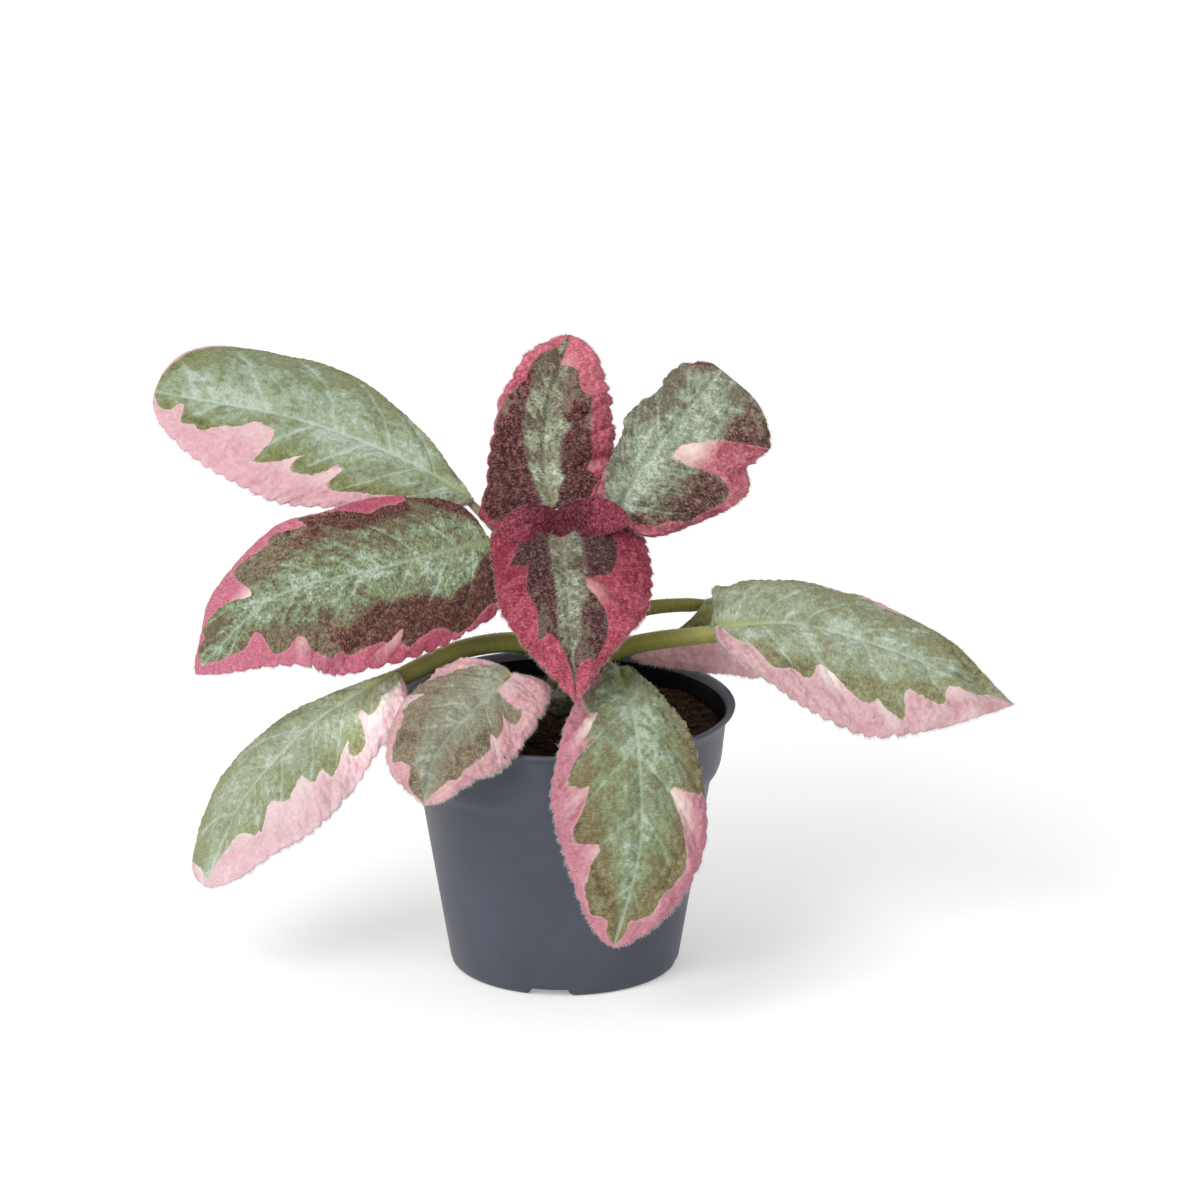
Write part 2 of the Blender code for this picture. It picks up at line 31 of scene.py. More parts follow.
# One row a leaf. Lengths are in millimetres and angles in degrees, and a pair holds the left
# and the right half, seen from above with the tip ahead. The midribs start from the CAD model's.
# Blade: its midrib from base to tip, the way its upper side faces along it, its half widths,
# each half's slopes at the midrib and at the margin (roll), how far the lobes reach back at the
# base, where along the leaf it is widest (peak), and how full it is at the base and the tip.
# Stalk: the points of its free part, its radius at each end, and its colour at each end.
# Surface: waves of the margin (ripple: height, number), depth of the quilting (relief), how
# deep the teeth are, bays in the margin (dents: place from 0 to 1, or down to -1 on the left
# half, depth, or bulge where it is below 0, and half width), what is left of the relief at the
# margin (calm), strength of the painted veins (lines), of the pale rim beside the green (rim),
# of the colours' change towards the tip (fading) and of the painted light that brightens the
# base where a leaf above shades it (lift).
# Markings of each half, in percent. Places run from 0 at the base to 100 at the tip, and
# reaches from 0 at the midrib to 100 at the margin. reach: how far the green goes, as place,
# reach, place, reach and so on. brown: where it turns brown, likewise. fingers: place, reach
# and half height of rounded green lobes that overhang the pink, with their root a slant nearer
# to the tip. cream: place, start, half height and strength of pale patches in the pink.
# veins: where the lateral veins start.
LEAVES = {
    "leaf_upper_left": dict(
        palette="pale", slot="leaf_pale", seed=1,
        midrib=[(-28, 22, 142), (-50, 29, 153), (-83, 38, 163), (-127, 47, 169)],
        face=[(0.25, -0.62, 0.78), (0.1, -0.66, 0.75), (-0.2, -0.6, 0.75)], width=(28, 40),
        roll=((0, -20), (0, -60)), lobe=(0.1, 0.05), peak=(1.15, 1.9), base=(1.2, 1.0),
        tip=(0.5, 0.5), stalk=[(-2, 6, 114), (-9, 10, 120), (-18, 14, 131)],
        stalk_radius=(1.9, 1.2), stalk_colours=((0.16, 0.13, 0.06), (0.34, 0.32, 0.18)),
        ripple=(0.6, 3), relief=0.9, teeth=(1.0, 0.25), calm=(1.0, 0.2), lines=0.27, rim=0.3,
        left=dict(
            reach=[0, 80, 33, 60, 37, 64, 46, 70, 52, 62, 53.5, 52, 54.8, 40, 66, 36, 67.2, 50,
                69, 66, 73, 74, 74.5, 60, 75.5, 40, 77, 26, 81, 23, 83.5, 40, 86, 47, 88.5, 68,
                90, 58, 92.5, 69, 94.2, 50, 95, 5, 96, 50, 98.5, 75, 100, 30],
            fingers=[(61.2, 65, 4.3)],
            cream=[(66, 40, 1.5, 70), (80, 25, 3, 40), (55, 42, 1.5, 60)],
            brown=[0, 90, 35, 46, 70, 40, 100, 30],
            veins=[12, 28, 44, 60, 73, 90]),
        right=dict(
            reach=[0, 110, 10, 95, 20, 93, 40, 93, 45, 86, 51, 75, 54, 92, 95, 94, 100, 85],
            brown=[0, 75, 60, 65, 90, 80, 100, 50],
            veins=[20, 38, 54, 68, 82, 93]),
    ),
    "leaf_middle_left": dict(
        palette="maroon", slot="leaf_maroon", seed=2,
        midrib=[(-23, -4, 137), (-53, -11, 131), (-88, -18, 123), (-112, -26, 101.5)],
        face=[(0.0, -0.78, 0.62), (-0.15, -0.72, 0.62), (-0.6, -0.65, 0.5)], width=(30, 29.5),
        roll=((0, -20), (0, -38)), lobe=(0.14, 0.07), peak=(0.95, 0.85), base=(0.45, 1.0),
        tip=(0.8, 0.8), stalk=[(-2, 5, 109), (-9, 1, 117), (-16, -2, 128)], stalk_radius=(2.4, 1.8),
        ripple=(0.8, 4), relief=0.9, teeth=(1.2, 0.4), lines=0.18, rim=0.15, fading=1.1,
        left=dict(
            reach=[0, 100, 15, 90, 20, 82, 25, 95, 28, 95, 33, 80, 36, 82, 38.5, 90, 41, 82, 44, 66,
                45.5, 80, 47, 74, 50, 80, 55, 82, 58, 77, 61, 87, 64, 83, 70, 78, 73.5, 64, 76, 68,
                78, 79, 81, 86, 83, 83, 84.5, 60, 86.5, 40, 88, 54, 90, 63, 92, 58, 95, 54,
                97.5, 20, 100, 0],
            cream=[(44, 64, 1.2, 50), (73.5, 64, 1.4, 50)],
            brown=[0, 15, 20, 20, 25, 36, 30, 43, 33, 55, 37, 45, 42, 35, 56, 34, 59, 56, 62, 50,
                65, 40, 70, 43, 73, 56, 76, 60, 80, 45, 83, 40, 86, 100, 100, 100],
            veins=[10, 24, 37, 50, 64, 78, 90]),
        right=dict(
            reach=[0, 100, 22, 100, 26, 97, 30, 74, 33, 70, 36, 74, 40, 69, 44, 65, 46, 80, 50, 90,
                55, 92, 58, 84, 60, 74, 62, 80, 64, 90, 66, 85, 69, 75, 72, 82, 75, 90, 77, 80,
                80, 60, 82, 40, 83.7, 24, 85, 65, 87, 82, 89, 92, 91, 86, 93, 70, 95, 88, 97, 80,
                98, 20, 100, 0],
            cream=[(84, 22, 3, 100)],
            brown=[0, 30, 15, 48, 22, 50, 26, 72, 30, 75, 33, 50, 45, 48, 50, 42, 56, 50, 58.5, 72,
                61, 48, 72, 48, 77, 35, 80, 50, 83, 100, 100, 100],
            veins=[8, 20, 33, 47, 60, 72, 84, 93]),
    ),
    "leaf_top_back": dict(
        palette="crimson", slot="leaf_crimson", seed=3,
        midrib=[(-4, 4, 145), (-6, 18, 159), (-4, 32, 173), (2, 44, 188)],
        face=[(0, -0.8, 0.6), (0.1, -0.8, 0.6)], width=(17, 21.5), roll=((10, -30), (15, -25)),
        lobe=(0.28, 0.28), peak=(0.75, 0.85), base=(0.5, 0.6), tip=(0.65, 0.5),
        stalk=[(-3, 3, 131), (-4, 6, 135)], stalk_radius=(1.7, 1.3), ripple=(1.0, 4), relief=1.1,
        teeth=(1.2, 1.5), dents=[(-0.27, -7.0, 0.05)], lines=0.07, rim=0.1, fading=0.5,
        left=dict(
            reach=[0, 60, 20, 90, 30, 98, 42, 97, 50, 89, 60, 85, 70, 79, 76, 69, 84, 78, 87, 80,
                93, 58, 100, 40],
            brown=[0, 10, 30, 20, 45, 30, 60, 42, 75, 50, 85, 72, 90, 120],
            veins=[20, 37.5, 52.5, 67.5, 81, 92]),
        right=dict(
            reach=[0, 30, 17, 30, 20, 45, 24, 60, 30, 71, 33, 60, 36, 54, 40, 64, 55, 65, 60, 64,
                66, 72, 74, 70, 77, 62, 80, 55, 87, 49, 89, 39, 90, 23, 91, 2, 100, -20],
            cream=[(36, 60, 1.2, 40), (91.5, 5, 1.6, 60)],
            brown=[0, 5, 27, 12, 36, 24, 43, 18, 57, 24, 64, 40, 70, 26, 86, 22, 89, 60, 100, 120],
            veins=[20, 36, 50, 64.5, 78, 91]),
    ),
    "leaf_front_center": dict(
        palette="rose", slot="leaf_crimson", seed=4,
        midrib=[(-1, -8, 139), (1, -26, 132), (2, -43, 119), (4, -54, 101)],
        face=[(0, -0.3, 0.95), (0, -0.75, 0.66)], width=(27, 22.5), roll=((5, -30), (5, -30)),
        lobe=(0.34, 0.3), peak=(0.55, 0.6), base=(0.4, 0.55), tip=(1.1, 1.1),
        stalk=[(-3, 3, 126), (-2, -2, 131)], stalk_radius=(1.8, 1.4), ripple=(0.6, 3), relief=0.9,
        lines=0.07, rim=0.1, fading=0.35,
        left=dict(
            reach=[0, 30, 15, 40, 22, 51, 30, 58, 35, 58, 45, 53, 48, 48, 50, 38, 55, 23, 60, 27,
                63, 44, 66, 62, 70, 75, 74, 80, 84, 79, 85, 66, 87, 48, 90, 30, 95, 12, 100, -10],
            cream=[(60, 24, 3, 80)],
            brown=[0, 15, 20, 20, 50, 22, 60, 30, 70, 25, 82, 30, 87, 10],
            veins=[20, 36, 50, 64, 78, 90]),
        right=dict(
            reach=[0, 30, 15, 52, 30, 58, 34.5, 74, 38, 52, 40, 50, 50, 58, 55, 61, 65, 58, 70, 66,
                74, 80, 75.5, 50, 80, 42, 85, 36, 88, 28, 95, 12, 100, -10],
            brown=[0, 10, 20, 15, 60, 20, 70, 25, 76, 30, 82, 35, 88, 10],
            veins=[20, 35, 48, 62, 75, 88]),
    ),
    "leaf_upper_right": dict(
        palette="silver", slot="leaf_silver", seed=5,
        midrib=[(15, 1, 143.5), (25, 5, 159), (36, 9, 172), (48, 13, 186)],
        face=[(0.2, -0.8, 0.6), (0.1, -0.9, 0.5)], width=(14, 30), roll=((5, -60), (5, -10)),
        lobe=(0.1, 0.15), peak=(1.3, 1.25), base=(0.75, 0.72), tip=(0.4, 0.25),
        stalk=[(-2, 5, 121), (6, 5, 125), (12, 4, 133)], stalk_radius=(2.2, 1.6), ripple=(1.5, 3),
        relief=1.3, teeth=(1.5, 0.55),
        dents=[(0.67, 4.6, 0.045), (0.745, 2.2, 0.035), (0.86, -1.5, 0.06)], lines=0.12, rim=0.15,
        left=dict(
            reach=[0, 50, 20, 60, 30, 100, 100, 110],
            brown=[0, 120, 80, 120, 88, 85, 94, 75, 100, 60],
            veins=[20, 38, 54, 70, 86]),
        right=dict(
            reach=[0, 15, 16, 20, 20, 55, 24, 70, 27, 66, 30, 87, 40, 87, 55, 82, 57.5, 60, 59, 16,
                72, 18, 76, 29, 78, 39, 80, 53, 82.5, 81, 84, 110, 100, 110],
            fingers=[(47.5, 87, 15.5)], cream=[(63, 14, 5, 100), (73, 20, 4.5, 100)],
            brown=[0, 20, 28, 25, 32, 60, 38, 42, 60, 40, 66, 45, 70, 120, 78, 120, 80, 50, 86, 45,
                93, 55, 100, 80],
            veins=[16, 30, 45, 60, 76, 90]),
    ),
    "leaf_lower_left": dict(
        palette="light", slot="leaf_pale", seed=6,
        midrib=[(-51, -5, 95.5), (-77, -13, 81), (-98, -20, 59), (-110, -27, 33)],
        face=[(-0.3, -0.6, 0.75), (-0.7, -0.6, 0.35)], width=(28, 21.5), roll=((5, -20), (0, -45)),
        lobe=(0.08, 0.05), peak=(1.1, 2.6), base=(0.6, 0.75), tip=(0.65, 0.5),
        stalk=[(-1, 7, 96), (-14, 2, 102), (-32, -2, 101)], stalk_radius=(3.2, 3.0),
        stalk_colours=((0.31, 0.34, 0.05), (0.48, 0.52, 0.17)), ripple=(0.5, 4), relief=0.9,
        # lift: painted light on the base, where leaf_middle_left shades it.
        teeth=(1.0, 0.4), calm=(1.0, 0.3), lines=0.24, rim=0.5, lift=0.7,
        left=dict(
            reach=[0, 50, 20, 30, 27, 30, 30, 42, 34, 40, 39, 24, 42, 50, 46, 57, 47.5, 68, 50, 72,
                53, 64, 56, 56, 58, 61, 62, 51, 64.5, 45, 68, 57, 71, 55, 75, 44, 77.5, 47, 79, 58,
                80.3, 72, 81.5, 60, 83, 63, 85.5, 50, 88, 40, 92, 30, 96, 15, 100, -10],
            fingers=[(36, 76, 3.4)], slant=14,
            cream=[(26, 30, 9, 90), (64.5, 44, 3, 50), (75, 44, 2, 40)],
            brown=[0, 120, 25, 50, 100, 45],
            veins=[16, 32, 46, 58, 70, 79, 90]),
        right=dict(
            reach=[0, 110, 94, 110, 96, 70, 98, 20, 100, -10],
            cream=[(96, 30, 2, 60)],
            brown=[0, 90, 60, 75, 100, 60],
            veins=[20, 36, 50, 63, 75, 86]),
    ),
    "leaf_front_left": dict(
        palette="dusky", slot="leaf_pale", seed=7,
        midrib=[(-15.5, -32, 103.5), (-30, -43, 92.5), (-39, -52, 83), (-42, -60, 71)],
        face=[(0.2, -0.5, 0.85), (-0.2, -0.75, 0.6)], width=(20.5, 26), roll=((30, -22), (0, -55)),
        lobe=(0.2, 0), peak=(0.95, 0.77), base=(0.62, 0.65), tip=(0.45, 0.95),
        stalk=[(-1, 8, 82), (-3, -2, 85), (-8, -16, 91)], stalk_radius=(2.5, 1.9), ripple=(0.4, 3),
        relief=0.8, lines=0.15, rim=0.2,
        left=dict(
            reach=[0, -40, 36, -25, 40, 0, 43, 40, 45, 58, 48, 66, 52, 67, 54, 62, 55.7, 50, 57, 60,
                59, 72, 65, 74, 70, 71, 75, 76, 80, 73, 85, 78, 88, 83, 90, 66, 93, 54, 96, 40,
                100, 10],
            fingers=[(36.5, 72, 3.5)], slant=12, cream=[(30, 0, 12, 45), (55.7, 50, 2, 70)],
            brown=[0, 30, 30, 32, 60, 38, 100, 35],
            veins=[20, 38, 52, 65, 78, 90]),
        right=dict(
            reach=[0, 20, 10, 30, 20, 38, 28, 50, 33, 65, 37, 84, 42, 92, 46, 88, 50, 70, 53, 62,
                55, 74, 58, 84, 64, 82, 68, 78, 74, 86, 80, 90, 83, 70, 86, 56, 89, 66, 92, 88,
                97, 90, 100, 60],
            cream=[(52, 62, 2.5, 70)],
            brown=[0, 30, 25, 45, 50, 42, 80, 45, 100, 35],
            veins=[14, 30, 44, 58, 70, 83]),
    ),
    "leaf_front_bottom": dict(
        palette="fresh", slot="leaf_pale", seed=8,
        midrib=[(17, -22, 102), (22, -54, 91), (23, -69, 62), (15, -78, 32)],
        face=[(0.1, -0.3, 0.95), (0, -0.9, 0.35)], width=(21, 28), roll=((0, -30), (0, -32)),
        lobe=(0.08, 0.08), peak=(1.25, 1.15), base=(1.1, 1.1), tip=(0.72, 0.65),
        stalk=[(-1, 7, 89), (6, -3, 93), (12, -12, 99)], stalk_radius=(2.6, 2.0), ripple=(0.5, 4),
        relief=1.2, lines=0.17, rim=0.3,
        left=dict(
            reach=[0, 110, 54, 110, 57, 86, 60, 77, 63, 62, 65, 51, 67, 39, 70, 48, 72, 62, 77, 80,
                80, 82, 83, 77, 85, 68, 90, 74, 92, 68, 94, 57, 95.5, 30, 97.5, 50, 100, 20],
            cream=[(68, 36, 2, 100)],
            brown=[0, 120, 33, 80, 45, 60, 60, 60, 75, 50, 86, 42, 95, 10, 100, 0],
            veins=[12, 26, 40, 53, 66, 78, 90]),
        right=dict(
            reach=[0, 100, 10, 72, 15, 58, 20, 48, 25, 42, 27, 54, 29, 67, 34, 58, 40, 46, 43, 39,
                46, 42, 48.5, 57, 50, 50, 51.5, 40, 52, 70, 54, 75.5, 58, 73, 61, 65, 63, 54,
                66, 64, 70, 77.5, 75, 80, 77, 71, 78.5, 54, 81, 52, 83, 67, 88, 83, 93, 90,
                94.5, 75, 95.5, 37, 98, 60, 100, 20],
            cream=[(45, 38, 2, 90), (62.5, 56, 1.4, 40), (80, 46, 1.6, 40)],
            brown=[0, 80, 25, 50, 55, 58, 70, 50, 86, 40, 95, 10, 100, 0],
            veins=[10, 22, 35, 50, 63, 76, 90]),
    ),
    "leaf_lower_right": dict(
        palette="pale_brown", slot="leaf_pale", seed=9,
        midrib=[(46, -6, 110), (72, -10, 112), (105, -14, 103), (137, -18, 89)],
        face=[(0.1, -0.55, 0.83), (0.4, -0.5, 0.75)], width=(25, 30), roll=((20, -60), (0, -35)),
        lobe=(0.15, 0.1), peak=(0.63, 1.1), base=(0.7, 1.0), tip=(1.2, 0.9),
        stalk=[(-1, 7, 96), (9, 2, 98), (26, -3, 104)], stalk_radius=(3.1, 2.6),
        stalk_colours=((0.3, 0.31, 0.045), (0.4, 0.4, 0.12)), ripple=(0.7, 4), relief=1.2,
        teeth=(0.25, 1.1), calm=(0.3, 1.0), lines=0.15, rim=0.3,
        left=dict(
            reach=[0, 110, 28, 110, 34, 80, 50, 74, 62, 82, 68, 110, 96, 110, 100, 50],
            brown=[0, 120, 50, 120, 62, 85, 75, 75, 85, 55, 93, 20, 100, 10],
            veins=[12, 26, 40, 54, 68, 82, 93]),
        right=dict(
            reach=[0, 5, 17, 16, 20, 25, 23, 36, 28, 31, 30, 37, 31, 55, 33, 66, 36, 65, 39, 60,
                42, 53, 45, 61, 48, 58, 52, 45, 54.5, 41, 57, 48, 59, 60, 63, 71, 65, 73.5, 68, 66,
                69, 79, 72, 87, 73, 85, 75, 73.5, 77, 58, 78.5, 54, 80, 66, 83.5, 73.5, 85.5, 62,
                87, 41, 88.5, 37, 92, 47, 94, 47, 95, 33, 96.5, 10, 100, 0],
            cream=[(55, 40, 2, 100), (69, 66, 1.2, 70), (88.5, 36, 1.8, 40)],
            brown=[0, 15, 30, 32, 60, 42, 80, 42, 90, 20, 100, 5],
            veins=[14, 26, 40, 53, 70, 83, 93]),
    ),
    "leaf_right_rear": dict(
        palette="shaded", slot="leaf_pink", seed=10,
        midrib=[(43, 23, 108), (57, 29, 103), (73, 35, 92), (86, 39, 81)],
        face=[(0, -0.88, 0.48), (0.3, -0.75, 0.6)], width=(6, 22), roll=((0, -80), (0, -20)),
        lobe=(0.05, 0.55), peak=(1, 0.5), base=(0.8, 1.0), tip=(0.9, 0.9),
        stalk=[(-1, 7, 102), (10, 12, 104), (26, 18, 108)], stalk_radius=(2.4, 2.1),
        stalk_colours=((0.2, 0.2, 0.025), (0.25, 0.24, 0.03)), ripple=(0.4, 3), relief=0.7,
        teeth=(1.0, 0.4), lines=0.12, rim=0.2,
        left=dict(
            reach=[0, 90, 100, 90],
            brown=[0, 80, 100, 80],
            veins=[20, 40, 60, 80]),
        right=dict(
            reach=[0, 50, 20, 42, 28, 30, 34, -10, 100, -30],
            fingers=[(28, 42, 3.5)],
            brown=[0, 30, 100, 30],
            veins=[20, 40, 60, 80]),
    ),
}
PLAIN_HALF = dict(reach=[0, -30, 100, -30], brown=[0, 0, 100, 0], veins=[30, 60])
# On the young leaves, fading paints shade: they darken towards the base, where they fold into a
# dark crease.
YOUNG = dict(
    palette="young", slot="leaf_young", width=(7, 7), lobe=(0.1, 0.1), peak=(0.8, 0.8),
    base=(0.5, 0.5), tip=(0.6, 0.6), stalk_radius=(0, 0), ripple=(0.4, 2), relief=0.8,
    lines=0.0, rim=0.0, fading=0.9, left=PLAIN_HALF, right=PLAIN_HALF)
LEAVES["young_leaf_left"] = dict(
    YOUNG, seed=11, face=[(0, -0.8, 0.6), (-0.3, -0.8, 0.5)], roll=((0, -40), (10, -40)),
    midrib=[(-2, -4, 141), (-8, -6, 143), (-13.5, -8, 142.5), (-19, -9, 140)])
LEAVES["young_leaf_right"] = dict(
    YOUNG, seed=12, face=[(0, -0.8, 0.6), (0.3, -0.8, 0.5)], roll=((10, -40), (0, -40)),
    midrib=[(-3, -4, 141), (4, -6, 144), (12, -7, 145.5), (20, -8, 144)])
YOUNG_SIZE = 0.4
RED = ("maroon", "crimson", "rose", "young")

# Colours of the silver veins, green, brown, pink, its darker patches and cream.
PALETTES = {
    "pale": ((0.45, 0.53, 0.44), (0.33, 0.40, 0.27), (0.22, 0.235, 0.09),
             (0.76, 0.47, 0.50), (0.68, 0.37, 0.42), (0.86, 0.72, 0.68)),
    "pale_brown": ((0.48, 0.55, 0.45), (0.34, 0.39, 0.26), (0.26, 0.25, 0.12),
                   (0.73, 0.50, 0.51), (0.60, 0.34, 0.37), (0.88, 0.78, 0.73)),
    "maroon": ((0.385, 0.46, 0.36), (0.225, 0.275, 0.155), (0.135, 0.048, 0.038),
               (0.56, 0.17, 0.24), (0.44, 0.09, 0.14), (0.86, 0.68, 0.64)),
    "crimson": ((0.44, 0.48, 0.37), (0.28, 0.29, 0.20), (0.095, 0.024, 0.026),
                (0.58, 0.15, 0.20), (0.30, 0.035, 0.06), (0.72, 0.42, 0.40)),
    "rose": ((0.34, 0.37, 0.29), (0.20, 0.19, 0.13), (0.065, 0.020, 0.022),
             (0.46, 0.085, 0.13), (0.24, 0.02, 0.045), (0.66, 0.34, 0.32)),
    "silver": ((0.43, 0.49, 0.39), (0.28, 0.32, 0.23), (0.12, 0.055, 0.045),
               (0.59, 0.205, 0.245), (0.36, 0.07, 0.11), (0.86, 0.68, 0.60)),
    "light": ((0.49, 0.55, 0.44), (0.35, 0.41, 0.27), (0.30, 0.31, 0.15),
              (0.78, 0.58, 0.60), (0.72, 0.45, 0.49), (0.90, 0.82, 0.78)),
    "dusky": ((0.38, 0.40, 0.33), (0.27, 0.27, 0.19), (0.24, 0.19, 0.12),
              (0.70, 0.43, 0.44), (0.56, 0.28, 0.31), (0.78, 0.62, 0.62)),
    "fresh": ((0.39, 0.46, 0.35), (0.24, 0.29, 0.165), (0.21, 0.165, 0.08),
              (0.60, 0.27, 0.33), (0.47, 0.18, 0.22), (0.84, 0.70, 0.62)),
    # The rear leaf's pink is painted lighter than the other pinks: painted light that makes up for
    # the shadow leaf_lower_right casts on it.
    "shaded": ((0.34, 0.34, 0.16), (0.24, 0.24, 0.08), (0.12, 0.14, 0.05),
               (0.98, 0.60, 0.64), (0.85, 0.45, 0.50), (0.90, 0.74, 0.70)),
    "young": ((0.24, 0.12, 0.12), (0.14, 0.03, 0.04), (0.06, 0.012, 0.018),
              (0.22, 0.030, 0.055), (0.09, 0.008, 0.018), (0.40, 0.2, 0.2)),
}

# How strong the fur's light and shade is on the leaf and on the pink, how much of the brown
# its pale strokes cover, how far the brown's border wanders in millimetres, and how far the
# green runs out into the brown along each lateral vein.
GRAIN = {
    "pale": (0.3, 0.14, 0.1, 8, 4.0), "pale_brown": (0.32, 0.16, 0.12, 7, 4.0),
    "light": (0.3, 0.12, 0.1, 7, 4.0), "dusky": (0.32, 0.24, 0.15, 5, 3.0),
    "fresh": (0.36, 0.2, 0.1, 9, 3.5), "shaded": (0.3, 0.12, 0.2, 5, 0),
    "silver": (0.6, 0.5, 0.7, 4, 2.5), "maroon": (0.7, 0.38, 0.6, 6, 1.5),
    "crimson": (0.8, 0.55, 0.9, 3, 0.2), "rose": (0.75, 0.5, 0.9, 3, 0.6),
    "young": (0.9, 0.9, 0.7, 2, 0),
}
FURRY = 0.5
FUR_SCALE = 16.0

# Steps along and across a leaf's upper side; the underside takes every few columns of it.
LEAF_GRID = (200, 96, 3)
YOUNG_GRID = (60, 40, 2)
# Length and depth of the margin's teeth, and width of the small cells of the quilting.
TOOTH = 5.2 * MM
TOOTH_DEPTH = 1.2 * MM
CELL = 2.6 * MM
# Thickness at the margin, what the middle has on top of that, and the midrib underneath.
THIN, THICKER, RIB = 0.35 * MM, 0.6 * MM, 0.9 * MM
# How the lateral veins lean: by place on the blade, and in the painted pattern.
VEIN_SWEEP = 2.1
VEIN_DRIFT = 0.05
DEFAULT_SLANT = 0.04

# Hairs on the margin and on the face, and on stalks: counts, shortest and longest, radius.
LEAF_HAIRS = (2600, 3000)
YOUNG_HAIRS = (900, 900)
STALK_HAIRS = 700
STEM_HAIRS = 900
FRINGE_LENGTH = (0.7 * MM, 1.9 * MM)
FUZZ_LENGTH = (0.35 * MM, 0.9 * MM)
STALK_HAIR_LENGTH = (0.8 * MM, 2.08 * MM)
HAIR_RADIUS = 0.045 * MM
STALK_HAIR_RADIUS = 0.05 * MM
STALK_STEPS = 60
STALK_COLOURS = ((0.13, 0.11, 0.04), (0.22, 0.15, 0.08))

# The stem's centre line and its radii, at shares of its length, in millimetres.
STEM_BASE = (-1, 8)
STEM_LINE = [(*STEM_BASE, 66), (*STEM_BASE, 75), (-1, 7, 90), (-2, 4, 115), (-3, 1, 141)]
STEM_RADII = [(0, 4.4), (0.97, 3.0), (1, 1.8)]
STEM_STEPS = 120

FLOOR_GLOW = 0.3
WORLD_LIGHT = 0.62
LAMPS = {"key": (282, (-3.4, -4.4, 4.1)), "fill": (20, (4.2, -3.6, 2.7))}
LAMP_SIZE = 4.0
LAMP_TARGET = (0, 0, 0.1)
CAMERA_ELEVATION = math.radians(18)
CAMERA_DISTANCE = 2.5
CAMERA_TARGET = Vector((0.0109, 0.0, 0.1164))
CAMERA_LENS = 245.3

LATTICE_SIZE = 32
rng = np.random.RandomState(2024)
LATTICE = rng.rand(LATTICE_SIZE, LATTICE_SIZE, LATTICE_SIZE)


def noise(points, size, shift=0.0):
    """Smooth noise from -1 to 1 at each point, with features of about the given size."""
    p = np.asarray(points, float) / size + shift * 7.31
    cell = np.floor(p).astype(int)
    u = p - cell
    u = u * u * (3 - 2 * u)
    total = 0
    for corner in range(8):
        pick = np.array([corner & 1, corner >> 1 & 1, corner >> 2 & 1])
        weight = np.prod(np.where(pick == 1, u, 1 - u), axis=-1)
        index = (cell + pick) % LATTICE_SIZE
        total = total + weight * LATTICE[index[..., 0], index[..., 1], index[..., 2]]
    return total * 2 - 1


def fractal(points, size, layers=4, shift=0.0):
    """Noise in several layers, each half as large and half as strong as the last."""
    return sum(noise(points, size / 2 ** i, shift + i) / 2 ** i for i in range(layers))


def unit(vectors):
    return vectors / np.maximum(np.linalg.norm(vectors, axis=-1, keepdims=True), 1e-12)


def dot(a, b):
    return np.sum(a * b, -1, keepdims=True)


def bell(distance):
    return np.exp(-distance ** 2)


def between(limits, count):
    """Random numbers between two limits."""
    return limits[0] + (limits[1] - limits[0]) * rng.rand(count)


def table_at(where, places, rows):
    """Rows of three numbers that stand at places, interpolated at others."""
    return np.stack([np.interp(where, places, rows[:, k]) for k in range(3)], -1)


def smooth_path(points, count):
    """Evenly spaced points along a Catmull-Rom curve through the given points, its length."""
    points = np.asarray(points, float)
    ends = np.vstack([2 * points[0] - points[1], points, 2 * points[-1] - points[-2]])
    u = np.linspace(0, 1, 24, endpoint=False)[:, None]
    dense = []
    for a, b, c, d in zip(ends, ends[1:], ends[2:], ends[3:]):
        dense.append(0.5 * (2 * b + (c - a) * u + (2 * a - 5 * b + 4 * c - d) * u ** 2
                            + (3 * b - a - 3 * c + d) * u ** 3))
    dense = np.vstack(dense + [points[-1:]])
    length = np.append(0, np.cumsum(np.linalg.norm(np.diff(dense, axis=0), axis=1)))
    return table_at(np.linspace(0, length[-1], count), length, dense), length[-1]


def by_half(pair, side):
    """The left or the right one of a pair, by the sign of side."""
    return np.where(side >= 0, pair[1], pair[0])


